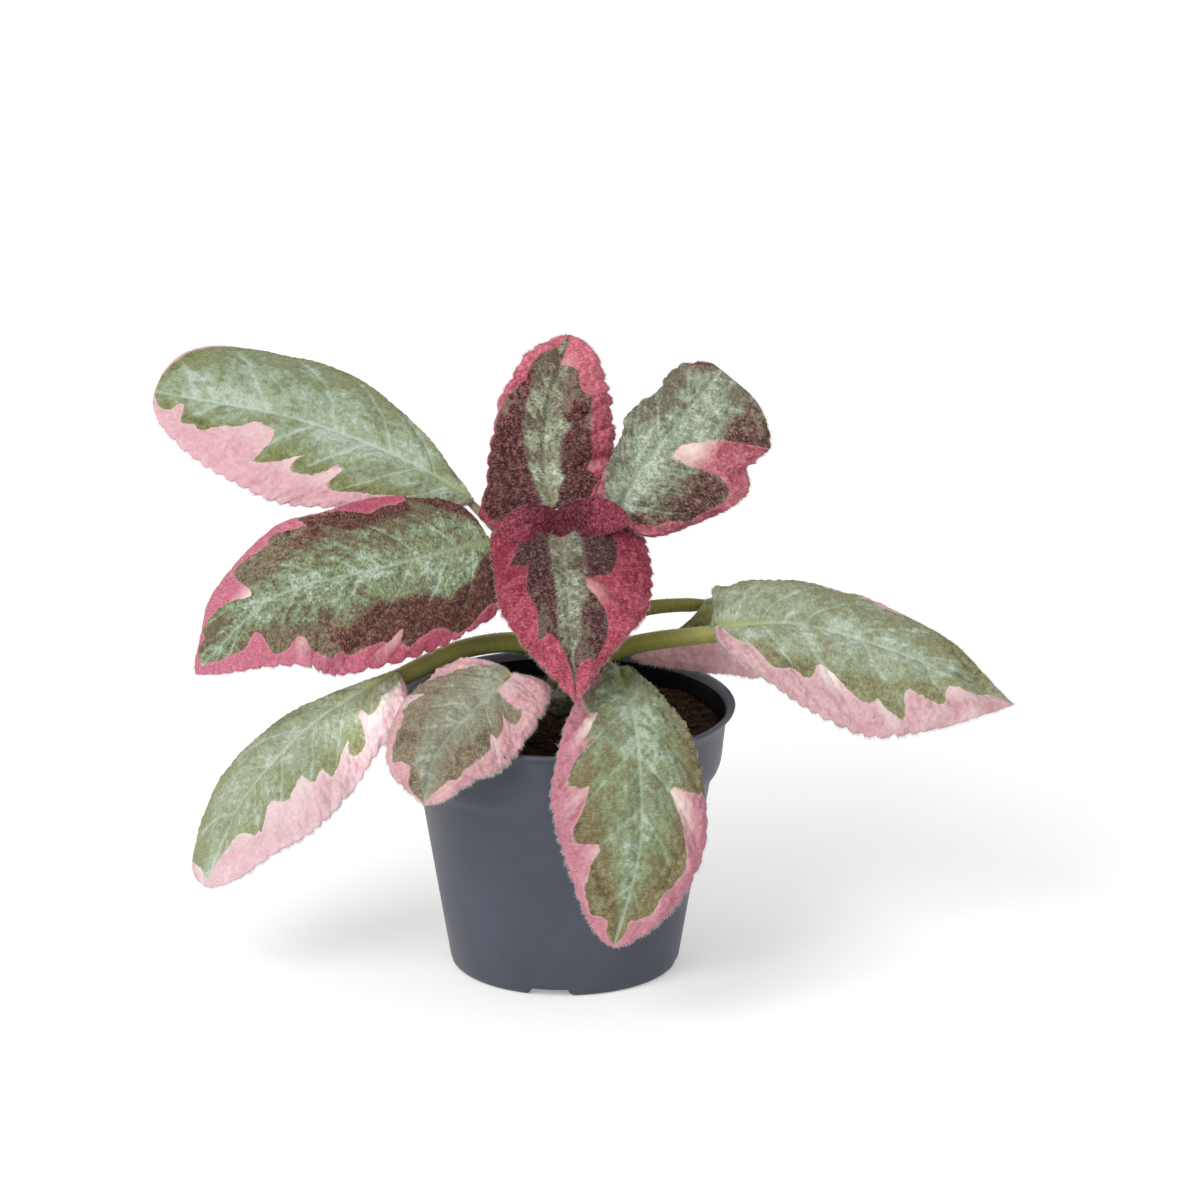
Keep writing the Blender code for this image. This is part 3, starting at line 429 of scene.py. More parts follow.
class Blade:
    """A leaf blade's middle surface. Places on it are (vein, side): vein runs from 0 at the
    base to 1 at the tip along the lateral veins' roots, side from -1 at the left margin over
    the midrib to 1 at the right one."""

    SAMPLES = 120

    def __init__(self, leaf):
        self.leaf = leaf
        self.midrib, self.length = smooth_path(np.array(leaf["midrib"]) * MM, self.SAMPLES)
        self.direction = unit(np.gradient(self.midrib, axis=0))
        faces = np.array(leaf["face"], float)
        share = np.linspace(0, 1, self.SAMPLES)
        face = table_at(share, np.linspace(0, 1, len(faces)), faces)
        self.normal = unit(face - self.direction * dot(face, self.direction))
        self.across = np.cross(self.direction, self.normal)

    def frame(self, along):
        """Midrib points, right-hand sides and upward normals at distances along it."""
        position = np.clip(along / self.length, 0, 1) * (self.SAMPLES - 1)
        point, direction, across, normal = (
            table_at(position, np.arange(self.SAMPLES), rows)
            for rows in (self.midrib, self.direction, self.across, self.normal))
        beyond = along - np.clip(along, 0, self.length)
        return point + unit(direction) * beyond[..., None], unit(across), unit(normal)

    def spread(self, vein, side):
        """Distances along the midrib and out from it, as on the blade laid flat."""
        lobe, peak, width, base, tip = (
            by_half(self.leaf[key], side) for key in ("lobe", "peak", "width", "base", "tip"))
        out = np.abs(side)
        back = np.minimum(vein / 0.5, 1)
        sweep = 1.73 * np.sin(np.pi * back) * (1 - back)
        edge_along = (vein - lobe * sweep) * self.length
        fullness = np.maximum(np.sin(np.pi * vein ** peak), 0)
        edge_out = width * MM * fullness ** (base + (tip - base) * vein)
        root_along = self.length * vein ** VEIN_SWEEP
        bend_along = root_along + 0.35 * (edge_along - root_along)
        near, middle, far = (1 - out) ** 2, 2 * out * (1 - out), out ** 2
        along = near * root_along + middle * bend_along + far * edge_along
        return along, (middle * 0.55 + far) * edge_out

    def place(self, along, out, side):
        """Points of the curved blade at flat distances, on the half that side gives."""
        point, across, normal = self.frame(along)
        inner, outer = (np.radians(by_half(slopes, side)) for slopes in zip(*self.leaf["roll"]))
        bend = (outer - inner) / (by_half(self.leaf["width"], side) * MM)
        reach = (np.sin(inner + bend * out) - np.sin(inner)) / bend
        rise = (np.cos(inner) - np.cos(inner + bend * out)) / bend
        sideways = reach * by_half((-1, 1), side)
        return point + across * sideways[..., None] + normal * rise[..., None]


def new_mesh(name, points, faces, attributes=None, smooth=True):
    """An object from points in metres and index lists, with named point attributes."""
    mesh = bpy.data.meshes.new(name)
    mesh.from_pydata(np.asarray(points).tolist(), [], faces)
    for label, values in (attributes or {}).items():
        values = np.ascontiguousarray(values, dtype=np.float32)
        kind, field = ("FLOAT_VECTOR", "vector") if values.ndim == 2 else ("FLOAT", "value")
        mesh.attributes.new(label, kind, "POINT").data.foreach_set(field, values.ravel())
    mesh.polygons.foreach_set("use_smooth", [smooth] * len(mesh.polygons))
    mesh.update()
    return linked(name, mesh)


def linked(name, data):
    """An object that holds the data, in the scene."""
    thing = bpy.data.objects.new(name, data)
    bpy.context.scene.collection.objects.link(thing)
    return thing


def closed_rings(name, rings, ends, attributes=None):
    """An object from rings of points, one after another, closed by a point at each end."""
    count, around = len(rings), len(rings[0])
    here = np.arange(around)
    beside = (here + 1) % around
    start = np.arange(count - 1)[:, None] * around
    walls = np.stack([start + here, start + beside, start + around + beside,
                      start + around + here], -1).reshape(-1, 4)
    first, last = here * 0 + count * around, here * 0 + count * around + 1
    final = (count - 1) * around
    caps = np.concatenate([np.stack([first, beside, here], -1),
                           np.stack([last, final + here, final + beside], -1)])
    points = np.concatenate([np.reshape(rings, (-1, 3)), ends])
    return new_mesh(name, points, walls.tolist() + caps.tolist(), attributes)


def tint(colour, level):
    return tuple(min(1, c * level) for c in colour)


def blend(a, b, share):
    return tuple(x + (y - x) * share for x, y in zip(a, b))


class Nodes:
    """Short calls for the shader nodes of one tree."""

    def __init__(self, tree):
        self.tree = tree

    def set(self, socket, value):
        if isinstance(value, bpy.types.NodeSocket):
            self.tree.links.new(value, socket)
        elif isinstance(value, tuple) and socket.type == "RGBA":
            socket.default_value = (*value, 1)
        else:
            socket.default_value = value

    def node(self, kind, output, inputs, **settings):
        node = self.tree.nodes.new("ShaderNode" + kind)
        for label, value in settings.items():
            setattr(node, label, value)
        for label, value in inputs.items():
            self.set(node.inputs[label], value)
        return node.outputs[output]

    def attribute(self, name, output="Fac"):
        return self.node("Attribute", output, {}, attribute_name=name)

    def where(self):
        return self.node("TexCoord", "Object", {})

    def math(self, operation, a, b=0.0):
        return self.node("Math", 0, {0: a, 1: b}, operation=operation)

    def times(self, a, b):
        return self.math("MULTIPLY", a, b)

    def moved(self, value, other, amount):
        """The value, moved by how far the other is from a half."""
        return self.math("ADD", value, self.times(self.math("SUBTRACT", other, 0.5), amount))

    def mix(self, amount, a, b, blend_type="MIX"):
        return self.node("Mix", 2, {0: amount, 6: a, 7: b}, data_type="RGBA", blend_type=blend_type)

    def step(self, value, low, high, start=0.0, end=1.0):
        inputs = {"Value": value, "From Min": low, "From Max": high,
                  "To Min": start, "To Max": end}
        return self.node("MapRange", "Result", inputs, interpolation_type="SMOOTHSTEP")

    def three(self, value, low, middle, high, spread):
        """Three colours, blended by a value around a half."""
        upper = self.step(value, 0.5, 0.5 + spread)
        lower = self.step(value, 0.5, 0.5 - spread)
        return self.mix(upper, self.mix(lower, middle, low), high)

    def noise(self, where, scale, detail=3.0, rough=0.6):
        inputs = {"Vector": where, "Scale": scale, "Detail": detail, "Roughness": rough}
        return self.node("TexNoise", "Fac", inputs)


class Paint(Nodes):
    """A material, with the sockets of its shader set by name."""

    def __init__(self, name, **sockets):
        self.material = bpy.data.materials.new(name)
        self.material.use_nodes = True
        super().__init__(self.material.node_tree)
        self.shader = self.tree.nodes["Principled BSDF"]
        for label, value in sockets.items():
            self.set(self.shader.inputs[label.replace("_", " ")], value)

    def finish(self, colour, height=None, strength=0.0, distance=0.0):
        """The material, with this colour and bumps of this height."""
        self.set(self.shader.inputs["Base Color"], colour)
        if height is not None:
            inputs = {"Height": height, "Strength": strength, "Distance": distance}
            self.set(self.shader.inputs["Normal"], self.node("Bump", "Normal", inputs))
        return self.material


def leaf_material(name, leaf, length):
    """A velvety leaf surface: pale veins, green feather, brown patches and pink margin, all
    under fine pale strokes of hair. The attribute flat and the length are in centimetres on
    the blade laid flat; green and brown are in millimetres inside their borders."""
    silver, green, brown, pink, dark_pink, cream = PALETTES[leaf["palette"]]
    leaf_grain, pink_grain, strokes, mottle, _ = GRAIN[leaf["palette"]]
    fading, lines = leaf.get("fading", 0.0), leaf["lines"]
    frost = tuple(min(0.05 + 3.2 * b, 1.1 * s) for b, s in zip(brown, silver))
    paint = Paint(name, Roughness=0.7, Sheen_Weight=0.03, Specular_IOR_Level=0.15)
    flat = paint.attribute("flat", "Vector")
    across = paint.node("SeparateXYZ", "Y", {"Vector": flat})
    ahead = paint.step(paint.node("SeparateXYZ", "X", {"Vector": flat}), 0.0, length)
    lying = paint.node("Mapping", "Vector", {"Vector": flat, "Scale": (1.15, 0.6, 1.0)})
    phase = paint.attribute("phase")
    pale = paint.attribute("silver")
    ragged = paint.noise(flat, 6.0)
    cloud = paint.noise(flat, 3.0)
    wide = paint.noise(flat, 1.7, 2.0)
    along_veins = {"X": paint.times(phase, 6.0), "Y": paint.times(across, 1.5)}
    streak = paint.noise(paint.node("CombineXYZ", 0, along_veins), 1.0)
    fur = paint.moved(paint.noise(lying, FUR_SCALE, 3.0, 0.75), ragged, 0.4)

    def grained(colour, amount):
        """The colour, lighter and darker with the fur."""
        return paint.mix(1.0, colour, paint.step(fur, 0.2, 0.8, 1 - amount, 1 + amount), "MULTIPLY")

    tone = paint.math("ADD", paint.times(pale, 0.65), 0.16)
    tone = paint.moved(paint.moved(tone, cloud, 1.1), streak, 0.85)
    leafy = paint.three(tone, blend(tint(green, 0.8), brown, 0.55), green, silver, 0.32)
    leafy = grained(leafy, leaf_grain)
    hairs = paint.step(fur, 0.48, 0.66, 0.0, strokes)
    hairs = paint.times(hairs, paint.step(ahead, 0.0, 0.6, 1 - 0.4 * fading, 1.0))
    bark = paint.moved(paint.moved(wide, cloud, 0.6), ahead, fading)
    bark = paint.three(bark, tint(brown, 0.6), brown, blend(brown, green, 0.5),
                       0.24 - 0.14 * leaf_grain)
    bark = paint.mix(hairs, grained(bark, leaf_grain * 1.2), frost)
    shade = paint.moved(paint.attribute("brown"), streak, mottle)
    shade = paint.moved(shade, cloud, mottle * 0.8)
    in_brown = paint.step(shade, mottle * -0.3, mottle * 0.3, 0.0, 0.95)
    leafy = paint.mix(in_brown, leafy, bark)

    off_vein = paint.math("FRACT", paint.math("ADD", phase, 0.5))
    off_vein = paint.math("ABSOLUTE", paint.math("SUBTRACT", off_vein, 0.5))
    lateral = paint.step(off_vein, 0.05, 0.01, 0.0, 1.5 * lines)
    midrib = paint.step(paint.math("ABSOLUTE", across), 0.08, 0.02, 0.0, 2.2 * lines)
    lateral = paint.times(lateral, paint.step(in_brown, 0.0, 0.9, 1.0, 0.3))
    veins = paint.times(paint.math("MAXIMUM", midrib, lateral), paint.step(pale, 0.1, 0.6))
    leafy = paint.mix(veins, leafy, tint(silver, 1.2))
    fleshy = blend(green, (0.44, 0.46, 0.18), 0.75 if leaf_grain < FURRY else 0.15)
    leafy = paint.mix(paint.attribute("stalky"), leafy, fleshy)

    rosy = paint.moved(paint.moved(wide, cloud, 0.5), ahead, fading)
    rosy = paint.three(rosy, dark_pink, blend(pink, dark_pink, 0.5), pink, 0.2)
    rosy = grained(rosy, pink_grain)
    rosy = paint.mix(paint.times(hairs, 0.22), rosy, blend(pink, (0.9, 0.75, 0.75), 0.5))
    rosy = paint.mix(paint.attribute("cream"), rosy, cream)
    edge = paint.moved(paint.attribute("green"), ragged, 2.6)
    base = paint.mix(paint.step(edge, -0.3, 0.3), rosy, leafy)
    # Painted light: towards the base the colour grows up to 1 + lift times lighter, against the
    # shade that the leaf above casts there.
    painted_light = paint.step(ahead, 0.4, 0.0, 1.0, 1 + leaf.get("lift", 0.0))
    base = paint.mix(1.0, base, painted_light, "MULTIPLY")
    dots = paint.node("TexVoronoi", "Distance", {"Vector": flat, "Scale": 0.8})
    speck = paint.step(dots, 0.045, 0.02, 0.0, 0.8)
    return paint.finish(paint.mix(speck, base, tint(brown, 0.3)), fur, 0.55, 0.0006)


def under_material(name, colour, vein_colour):
    """The paler, hairier underside, with its net of raised veins."""
    paint = Paint(name, Roughness=0.7, Sheen_Weight=0.3, Sheen_Roughness=0.4)
    flat = paint.attribute("flat", "Vector")
    cells = paint.node("TexVoronoi", "Distance", {"Vector": flat, "Scale": 5.0, "Randomness": 1.0},
                       feature="DISTANCE_TO_EDGE")
    net = paint.step(cells, 0.12, 0.02)
    base = paint.mix(paint.step(paint.noise(flat, 4.0), 0.3, 0.7), colour, tint(colour, 0.6))
    amount = paint.math("MAXIMUM", paint.attribute("silver"), paint.times(net, 0.5))
    return paint.finish(paint.mix(amount, base, vein_colour), net, 0.4, 0.0004)


def hair_material(name, colour):
    """Fine hairs: too thin to carry a pattern."""
    return Paint(name, Roughness=0.5, Sheen_Weight=0.4).finish(colour)


def stalk_material(name, base, top):
    """A fleshy stalk: lengthwise streaks, fading from one colour to another."""
    paint = Paint(name, Roughness=0.45, Subsurface_Weight=0.1, Specular_IOR_Level=0.3,
                  Subsurface_Radius=(0.002, 0.001, 0.0005))
    streak = paint.noise(paint.where(), 500.0)
    patch = paint.step(paint.noise(paint.where(), 90.0, 2.0), 0.4, 0.7, 0.0, 0.25)
    skin = paint.mix(patch, paint.mix(paint.attribute("share"), base, top), (0.16, 0.07, 0.04))
    skin = paint.mix(paint.step(streak, 0.45, 0.75, 0.0, 0.2), skin, (0.5, 0.5, 0.3))
    return paint.finish(skin, streak, 0.3, 0.0003)


def pot_material(name, gloss, stain_and_shade):
    """Dark grey-violet moulded plastic, lightly scuffed, its inside near black: compost stain and
    painted shade.
    """
    paint = Paint(name, Specular_IOR_Level=gloss)
    cloud = paint.noise(paint.where(), 30.0, 4.0)
    speck = paint.step(paint.noise(paint.where(), 330.0, 2.0), 0.7, 0.78)
    base = paint.mix(paint.step(cloud, 0.3, 0.7), (0.064, 0.068, 0.090), (0.078, 0.086, 0.112))
    dusty = paint.mix(paint.times(speck, 0.12), base, (0.3, 0.3, 0.32))
    # The inside is painted near black: a compost stain together with painted shade deep in the pot.
    stain_and_shade_mask = paint.step(cloud, 0.2, 0.5, 0.8 * stain_and_shade, stain_and_shade)
    paint.set(paint.shader.inputs["Roughness"], paint.step(cloud, 0.3, 0.7, 0.38, 0.5))
    grain = paint.noise(paint.where(), 900.0, 2.0)
    return paint.finish(paint.mix(stain_and_shade_mask, dusty, (0.006, 0.006, 0.006)), grain, 0.12, 0.0002)


def soil_material(name, dark, light):
    """Crumbly peat with lighter specks."""
    paint = Paint(name, Roughness=0.9, Specular_IOR_Level=0.05)
    lumps = paint.noise(paint.where(), 260.0, 5.0, 0.7)
    specks = paint.step(paint.noise(paint.where(), 900.0, 2.0), 0.66, 0.74)
    base = paint.mix(paint.step(lumps, 0.35, 0.7), dark, light)
    return paint.finish(paint.mix(paint.times(specks, 0.5), base, (0.10, 0.06, 0.035)),
                        lumps, 0.8, 0.001)


def margin_distance(blade, vein, side):
    """Distance along the margin from the base, for the teeth."""
    t = np.linspace(0, 1, 400)
    halves = []
    for sign in (-1.0, 1.0):
        along, out = blade.spread(t, np.full(400, sign))
        distance = np.append(0, np.cumsum(np.hypot(np.diff(along), np.diff(out))))
        halves.append(np.interp(vein, t, distance))
    return by_half(halves, side)


def profile(knots, vein):
    """A smooth line through the knots, rounded off over about a hundredth of the leaf."""
    dense = np.linspace(-0.1, 1.1, 961)
    weight = bell(np.linspace(-2, 2, 21))
    line = np.pad(np.interp(dense, knots[::2], knots[1::2]), 10, "edge")
    return np.interp(vein, dense, np.convolve(line, weight / weight.sum(), "valid"))


def larger(a, b, soft=0.8):
    """The larger of two distances in millimetres, rounded off where they meet."""
    share = np.clip(0.5 + 0.5 * (a - b) / soft, 0, 1)
    return b + (a - b) * share + soft * share * (1 - share) * 0.5


def mark_half(rows, vein, edge, length, width, rim, lobes):
    """Green, brown, cream and vein phase of one half, at places on it. Lengths in mm."""
    marks = {key: np.array(row, float) / 100 for key, row in rows.items()}
    green = (profile(marks["reach"], vein) - edge) * width
    slant = marks.get("slant", DEFAULT_SLANT)
    for place, reach, half in marks.get("fingers", []):
        radius = half * length
        across = (vein - place - slant * (reach - edge)) * length
        beyond = np.maximum(edge * width - (reach * width - radius), 0)
        green = larger(green, radius - np.hypot(across, beyond))
    cream = rim * np.clip(1 + green / 1.3, 0, 1)
    for place, start, half, strength in marks.get("cream", []):
        across = np.clip(1 - np.abs(vein - place) / (2.2 * half), 0, 1)
        inward = np.clip((edge - start) * width / 2 + 1, 0, 1)
        outward = np.clip(1.5 - (edge - start) * width / 7, 0, 1)
        cream = np.maximum(cream, strength * np.sqrt(across) * inward * outward)
    veins = marks["veins"]
    known = np.concatenate([[2 * veins[0] - veins[1] - 1], veins, [veins[-1] + 0.14]])
    count = np.concatenate([[-8.0], np.arange(len(veins)), [len(veins)]])
    phase = np.interp(vein - VEIN_DRIFT * edge, known, count)
    on_vein = 1 - np.sqrt(np.abs(np.sin(np.pi * phase)))
    brown = (edge - profile(marks["brown"], vein)) * width - lobes * on_vein
    return green, brown, cream, phase


def quilting(flat, size, seed):
    """How far each point is from the nearest border between small round cells, 0 to 1."""
    spot = flat[..., :2] / size
    cell = np.floor(spot).astype(int)
    nearest = np.full(spot.shape[:2], 9.0)
    second = nearest.copy()
    for dx, dy in ((i, j) for i in (-1, 0, 1) for j in (-1, 0, 1)):
        x, y = cell[..., 0] + dx, cell[..., 1] + dy
        column, row = x % LATTICE_SIZE, y % LATTICE_SIZE
        jitter = np.stack([LATTICE[column, row, seed], LATTICE[row, seed, column]], -1)
        gap = np.linalg.norm(np.stack([x, y], -1) + jitter - spot, axis=-1)
        second = np.minimum(second, np.maximum(gap, nearest))
        nearest = np.minimum(nearest, gap)
    return np.clip((second - nearest) * 1.6, 0, 1)


def toothed(leaf, blade, vein, side, size, fade):
    """How far the margin's teeth and bays move each place outwards."""
    seed, edge = leaf["seed"], np.abs(side)
    tooth = margin_distance(blade, vein, side) / (TOOTH * size)
    place = np.stack([tooth, side, vein * 0], -1)
    tooth = tooth + 0.45 * noise(place, 1.7, seed)
    scallop = np.abs(np.sin(np.pi * tooth)) ** 0.7 - 0.5
    scallop *= 0.75 + 0.5 * noise(place, 2.3, seed + 2)
    scallop += 0.7 * noise(place, 2.9, seed + 4) + 0.16 * np.abs(np.sin(2.6 * np.pi * tooth))
    margin = TOOTH_DEPTH * size * scallop * edge ** 12 * fade
    margin *= by_half(leaf.get("teeth", (1.0, 1.0)), side)
    for place, depth, half in leaf.get("dents", []):
        bay = bell((vein - abs(place)) / half) * edge ** 4 * (side * place > 0)
        margin -= depth * MM * bay
    return margin


def quilted(leaf, flat, vein, side, out, gap, size, fade):
    """How far the surface stands up: pillows between sunken veins, and a wavy margin."""
    seed, edge, height = leaf["seed"], np.abs(side), leaf["relief"] * size * MM
    open_half = np.clip(edge * 7, 0, 1) * np.clip((1 - edge) * 8, 0, 1) * fade
    relief = height * 1.6 * np.sqrt(np.clip(gap, 0.002, 1)) * open_half
    relief += height * (0.4 + 0.5 * edge) * quilting(flat, CELL * size, seed) * open_half
    relief += height * 0.3 * fractal(flat, 0.004, 2, seed) * np.clip(edge * 5, 0.2, 1)
    relief -= height * 0.6 * bell(out / (1.2 * MM * size)) * (1 - vein * 0.5)
    amount, waves = leaf["ripple"]
    swing = np.sin(2 * np.pi * (waves * vein + seed * 0.37 + 0.2 * side))
    relief += amount * MM * size * edge ** 3 * swing * fade
    calm = by_half(leaf.get("calm", (1.0, 1.0)), side)
    return relief * (1 - (1 - calm) * edge ** 2)


def leaf_surface(leaf, rows, columns, size):
    """Points, normals and painted attributes of a leaf's upper side, as grids."""
    blade, seed = Blade(leaf), leaf["seed"]
    vein, side = np.meshgrid(np.linspace(0, 1, rows + 1),
                             np.linspace(-1, 1, columns + 1), indexing="ij")
    along, out = blade.spread(vein, side)
    edge = np.abs(side)
    fade = np.clip(np.sin(np.pi * vein) * 3, 0, 1)
    margin = toothed(leaf, blade, vein, side, size, fade)
    points = blade.place(along, out + margin, side)
    normal = np.cross(np.gradient(points, axis=1), np.gradient(points, axis=0))
    normal[0] = normal[1]
    normal[-1] = normal[-2]
    normal = unit(normal * np.where(dot(normal, blade.frame(along)[2]) < 0, -1, 1))
    flat = np.stack([along, out * np.sign(side), np.full_like(along, seed * 0.05)], -1)

    length = blade.length / MM
    bent_vein = vein + 0.007 * fractal(flat, 0.007, 3, seed)
    bent_edge = edge + 0.022 * fractal(flat, 0.006, 3, seed + 3)
    lobes = GRAIN[leaf["palette"]][-1]
    halves = [mark_half(leaf[half], bent_vein, bent_edge, length, width, leaf["rim"], lobes)
              for half, width in zip(("left", "right"), leaf["width"])]
    green, brown, cream, phase = (by_half(pair, side) for pair in zip(*halves))
    gap = np.abs(phase - np.round(phase)) * 2
    points = points + normal * quilted(leaf, flat, vein, side, out, gap, size, fade)[..., None]

    silver = (0.95 - 0.3 * vein) * bell(out / (2.4 * MM * size))
    silver = np.maximum(silver, 0.75 * bell(gap / 0.22) * np.clip(1.15 - edge, 0, 1))
    silver = np.maximum(silver, 0.7 * np.clip(1 - edge * 1.5, 0, 1))
    silver = np.clip(silver + 0.4 * fractal(flat, 0.006, 2, seed + 7), 0, 1)
    onward = np.clip(1 - along / (0.2 * blade.length), 0, 1)
    half = (0.3 + (0.3 + 0.75 * leaf["stalk_radius"][1]) * onward) * MM
    painted = dict(flat=flat * 100, green=np.clip(green, -8, 8), brown=np.clip(brown, -8, 8),
                   silver=silver, cream=cream, phase=phase,
                   stalky=np.exp(-(out / half) ** 4) * np.sqrt(onward))
    return dict(vein=vein, side=side, points=points, normal=normal, size=size,
                length=length / 10, painted=painted)


def build_leaf(name, leaf, under):
    """A closed leaf: the quilted upper side, a smoother underside with a raised midrib."""
    young = leaf["palette"] == "young"
    rows, columns, skip = YOUNG_GRID if young else LEAF_GRID
    surface = leaf_surface(leaf, rows, columns, YOUNG_SIZE if young else 1.0)
    size, side = surface["size"], surface["side"]
    thickness = THIN + THICKER * (1 - np.abs(side) ** 3)
    thickness += RIB * bell(side * 14) * (1 - surface["vein"])
    below = surface["points"] - surface["normal"] * size * thickness[..., None]
    upper = np.arange((rows + 1) * (columns + 1)).reshape(rows + 1, columns + 1)
    upper[0, :] = upper[0, 0]
    upper[-1, :] = upper[-1, 0]
    lower = (upper + upper.size)[:, ::skip]
    left_wall = np.stack([lower[:, 0], upper[:, 0]], 1)
    right_wall = np.stack([upper[:, -1], lower[:, -1]], 1)
    faces, slots = [], []
    for grid in (upper, lower, left_wall, right_wall):
        slot = int(grid is lower)
        order = 1 if slot else -1
        corners = [grid[:-1, :-1], grid[1:, :-1], grid[1:, 1:], grid[:-1, 1:]]
        for quad in np.stack(corners[::order], -1).reshape(-1, 4).tolist():
            face = list(dict.fromkeys(quad))
            if len(face) > 2:
                faces.append(face)
                slots.append(slot)
    used = np.unique(np.concatenate(faces))
    number = np.zeros(2 * upper.size, int)
    number[used] = np.arange(len(used))
    faces = [number[face].tolist() for face in faces]

    def both(above, beneath):
        rows = [grid.reshape(upper.size, -1) for grid in (above, beneath)]
        return np.concatenate(rows).squeeze()[used]

    attributes = {key: both(grid, grid) for key, grid in surface["painted"].items()}
    piece = new_mesh(name + "_look", both(surface["points"], below), faces, attributes)
    piece.data.materials.append(leaf_material(name, leaf, surface["length"]))
    piece.data.materials.append(under)
    piece.data.polygons.foreach_set("material_index", slots)
    return piece, surface


def spikes(name, roots, directions, lengths, radius, material):
    """Tapering three-sided hairs, all in one mesh, each a closed spike."""
    count = len(roots)
    turn = rng.rand(count) * 2 * np.pi
    helper = np.where(np.abs(directions[:, 2:3]) < 0.9, [[0.0, 0, 1]], [[1.0, 0, 0]])
    u = unit(np.cross(directions, helper))
    v = np.cross(directions, u)
    corners = []
    for angle in (turn + k * 2 * np.pi / 3 for k in range(3)):
        corners.append(roots + radius * (u * np.cos(angle)[:, None] + v * np.sin(angle)[:, None]))
    corners.append(roots + directions * lengths[:, None])
    sides = np.array([[0, 1, 3], [1, 2, 3], [2, 0, 3], [0, 2, 1]])
    faces = (np.arange(count)[:, None, None] * 4 + sides).reshape(-1, 3).tolist()
    piece = new_mesh(name, np.stack(corners, 1).reshape(-1, 3), faces)
    piece.data.materials.append(material)
    return piece


def leaf_hairs(name, surface, material, fringe, fuzz):
    """A fringe of hairs round the margin and short fuzz over the upper side."""
    points, normal, size = surface["points"], surface["normal"], surface["size"]
    rows, columns = points.shape[0] - 1, points.shape[1] - 1
    row = rng.rand(fringe) * rows
    right = rng.rand(fringe) < 0.5
    near = np.floor(np.minimum(row, rows - 1)).astype(int)
    share = (row - near)[:, None]
    column, inner = np.where(right, columns, 0), np.where(right, columns - 3, 3)
    root = points[near, column] * (1 - share) + points[near + 1, column] * share
    outward = unit(root - points[near, inner])
    along = unit(points[near + 1, column] - points[near, column])
    up = normal[near, column]
    lean = rng.randn(fringe, 3)
    direction = unit(outward + 0.55 * along * lean[:, :1] + up * 0.45 * lean[:, 1:2])
    length = size * between(FRINGE_LENGTH, fringe)
    margin = root - outward * 0.1 * MM - up * 0.15 * MM, direction, length

    row, column = rng.rand(fuzz) * rows * 0.98 + rows * 0.01, rng.rand(fuzz) * columns
    i, j = np.floor(row).astype(int), np.floor(column).astype(int)
    s, t = (row - i)[:, None], (column - j)[:, None]
    root = ((points[i, j] * (1 - t) + points[i, j + 1] * t) * (1 - s)
            + (points[i + 1, j] * (1 - t) + points[i + 1, j + 1] * t) * s)
    up = normal[i, j]
    direction = unit(up + 0.7 * rng.randn(fuzz, 3))
    direction = unit(direction + up * np.maximum(0.35 - dot(direction, up), 0))
    length = size * between(FUZZ_LENGTH, fuzz)
    face = root - up * 0.05 * MM, direction, length
    root, direction, length = (np.concatenate(pair) for pair in zip(margin, face))
    return spikes(name + "_hairs", root, direction, length, HAIR_RADIUS, material)


def tube(name, path, radii, sides=20):
    """A round closed stem along a path, with rounded ends and faint ridges."""
    tangent = unit(np.gradient(path, axis=0))
    u = unit(np.cross(tangent, [0.03, 1.0, 0.02]))
    v = np.cross(tangent, u)
    angle = np.linspace(0, 2 * np.pi, sides, endpoint=False)
    ring = np.cos(angle)[:, None] * u[:, None] + np.sin(angle)[:, None] * v[:, None]
    radius = radii[:, None] * (1 + 0.04 * np.cos(5 * angle))
    lumps = 1 + 0.05 * noise(path[:, None] + ring * 0.004, 0.008)
    rings = path[:, None] + ring * (radius * lumps)[..., None]
    ends = [path[0] - tangent[0] * radii[0] * 0.3, path[-1] + tangent[-1] * radii[-1] * 0.3]
    share = np.append(np.repeat(np.linspace(0, 1, len(path)), sides), [0, 1])
    return closed_rings(name, rings, ends, {"share": share})


def stalk_path(leaf):
    """The stalk's centre line, from inside the stem to under the midrib, and its radii."""
    blade = Blade(leaf)
    thick, thin = leaf["stalk_radius"]
    point, _, normal = blade.frame(np.array([0.02, 0.11, 0.22]) * blade.length)
    under = point / MM - normal * (thin + 0.85)
    path, _ = smooth_path(np.vstack([leaf["stalk"], under]), STALK_STEPS)
    share = np.linspace(0, 1, STALK_STEPS)
    radius = np.interp(share, [0, 0.75, 1], [thick, thin, thin * 0.3])
    return path * MM, radius * MM


def stalk_hairs(name, path, radii, count, material):
    """Fine hairs all round a stalk."""
    tangent = unit(np.gradient(path, axis=0))
    pick = rng.randint(0, len(path), count)
    ahead = tangent[pick]
    loose = unit(rng.randn(count, 3))
    outward = unit(loose - ahead * dot(loose, ahead))
    root = path[pick] + outward * (radii[pick] * 0.93)[:, None]
    root += ahead * ((rng.rand(count) - 0.5) * 0.8 * MM)[:, None]
    direction = unit(outward + 0.35 * rng.randn(count, 3))
    lengths = between(STALK_HAIR_LENGTH, count)
    return spikes(name, root, direction, lengths, STALK_HAIR_RADIUS, material)


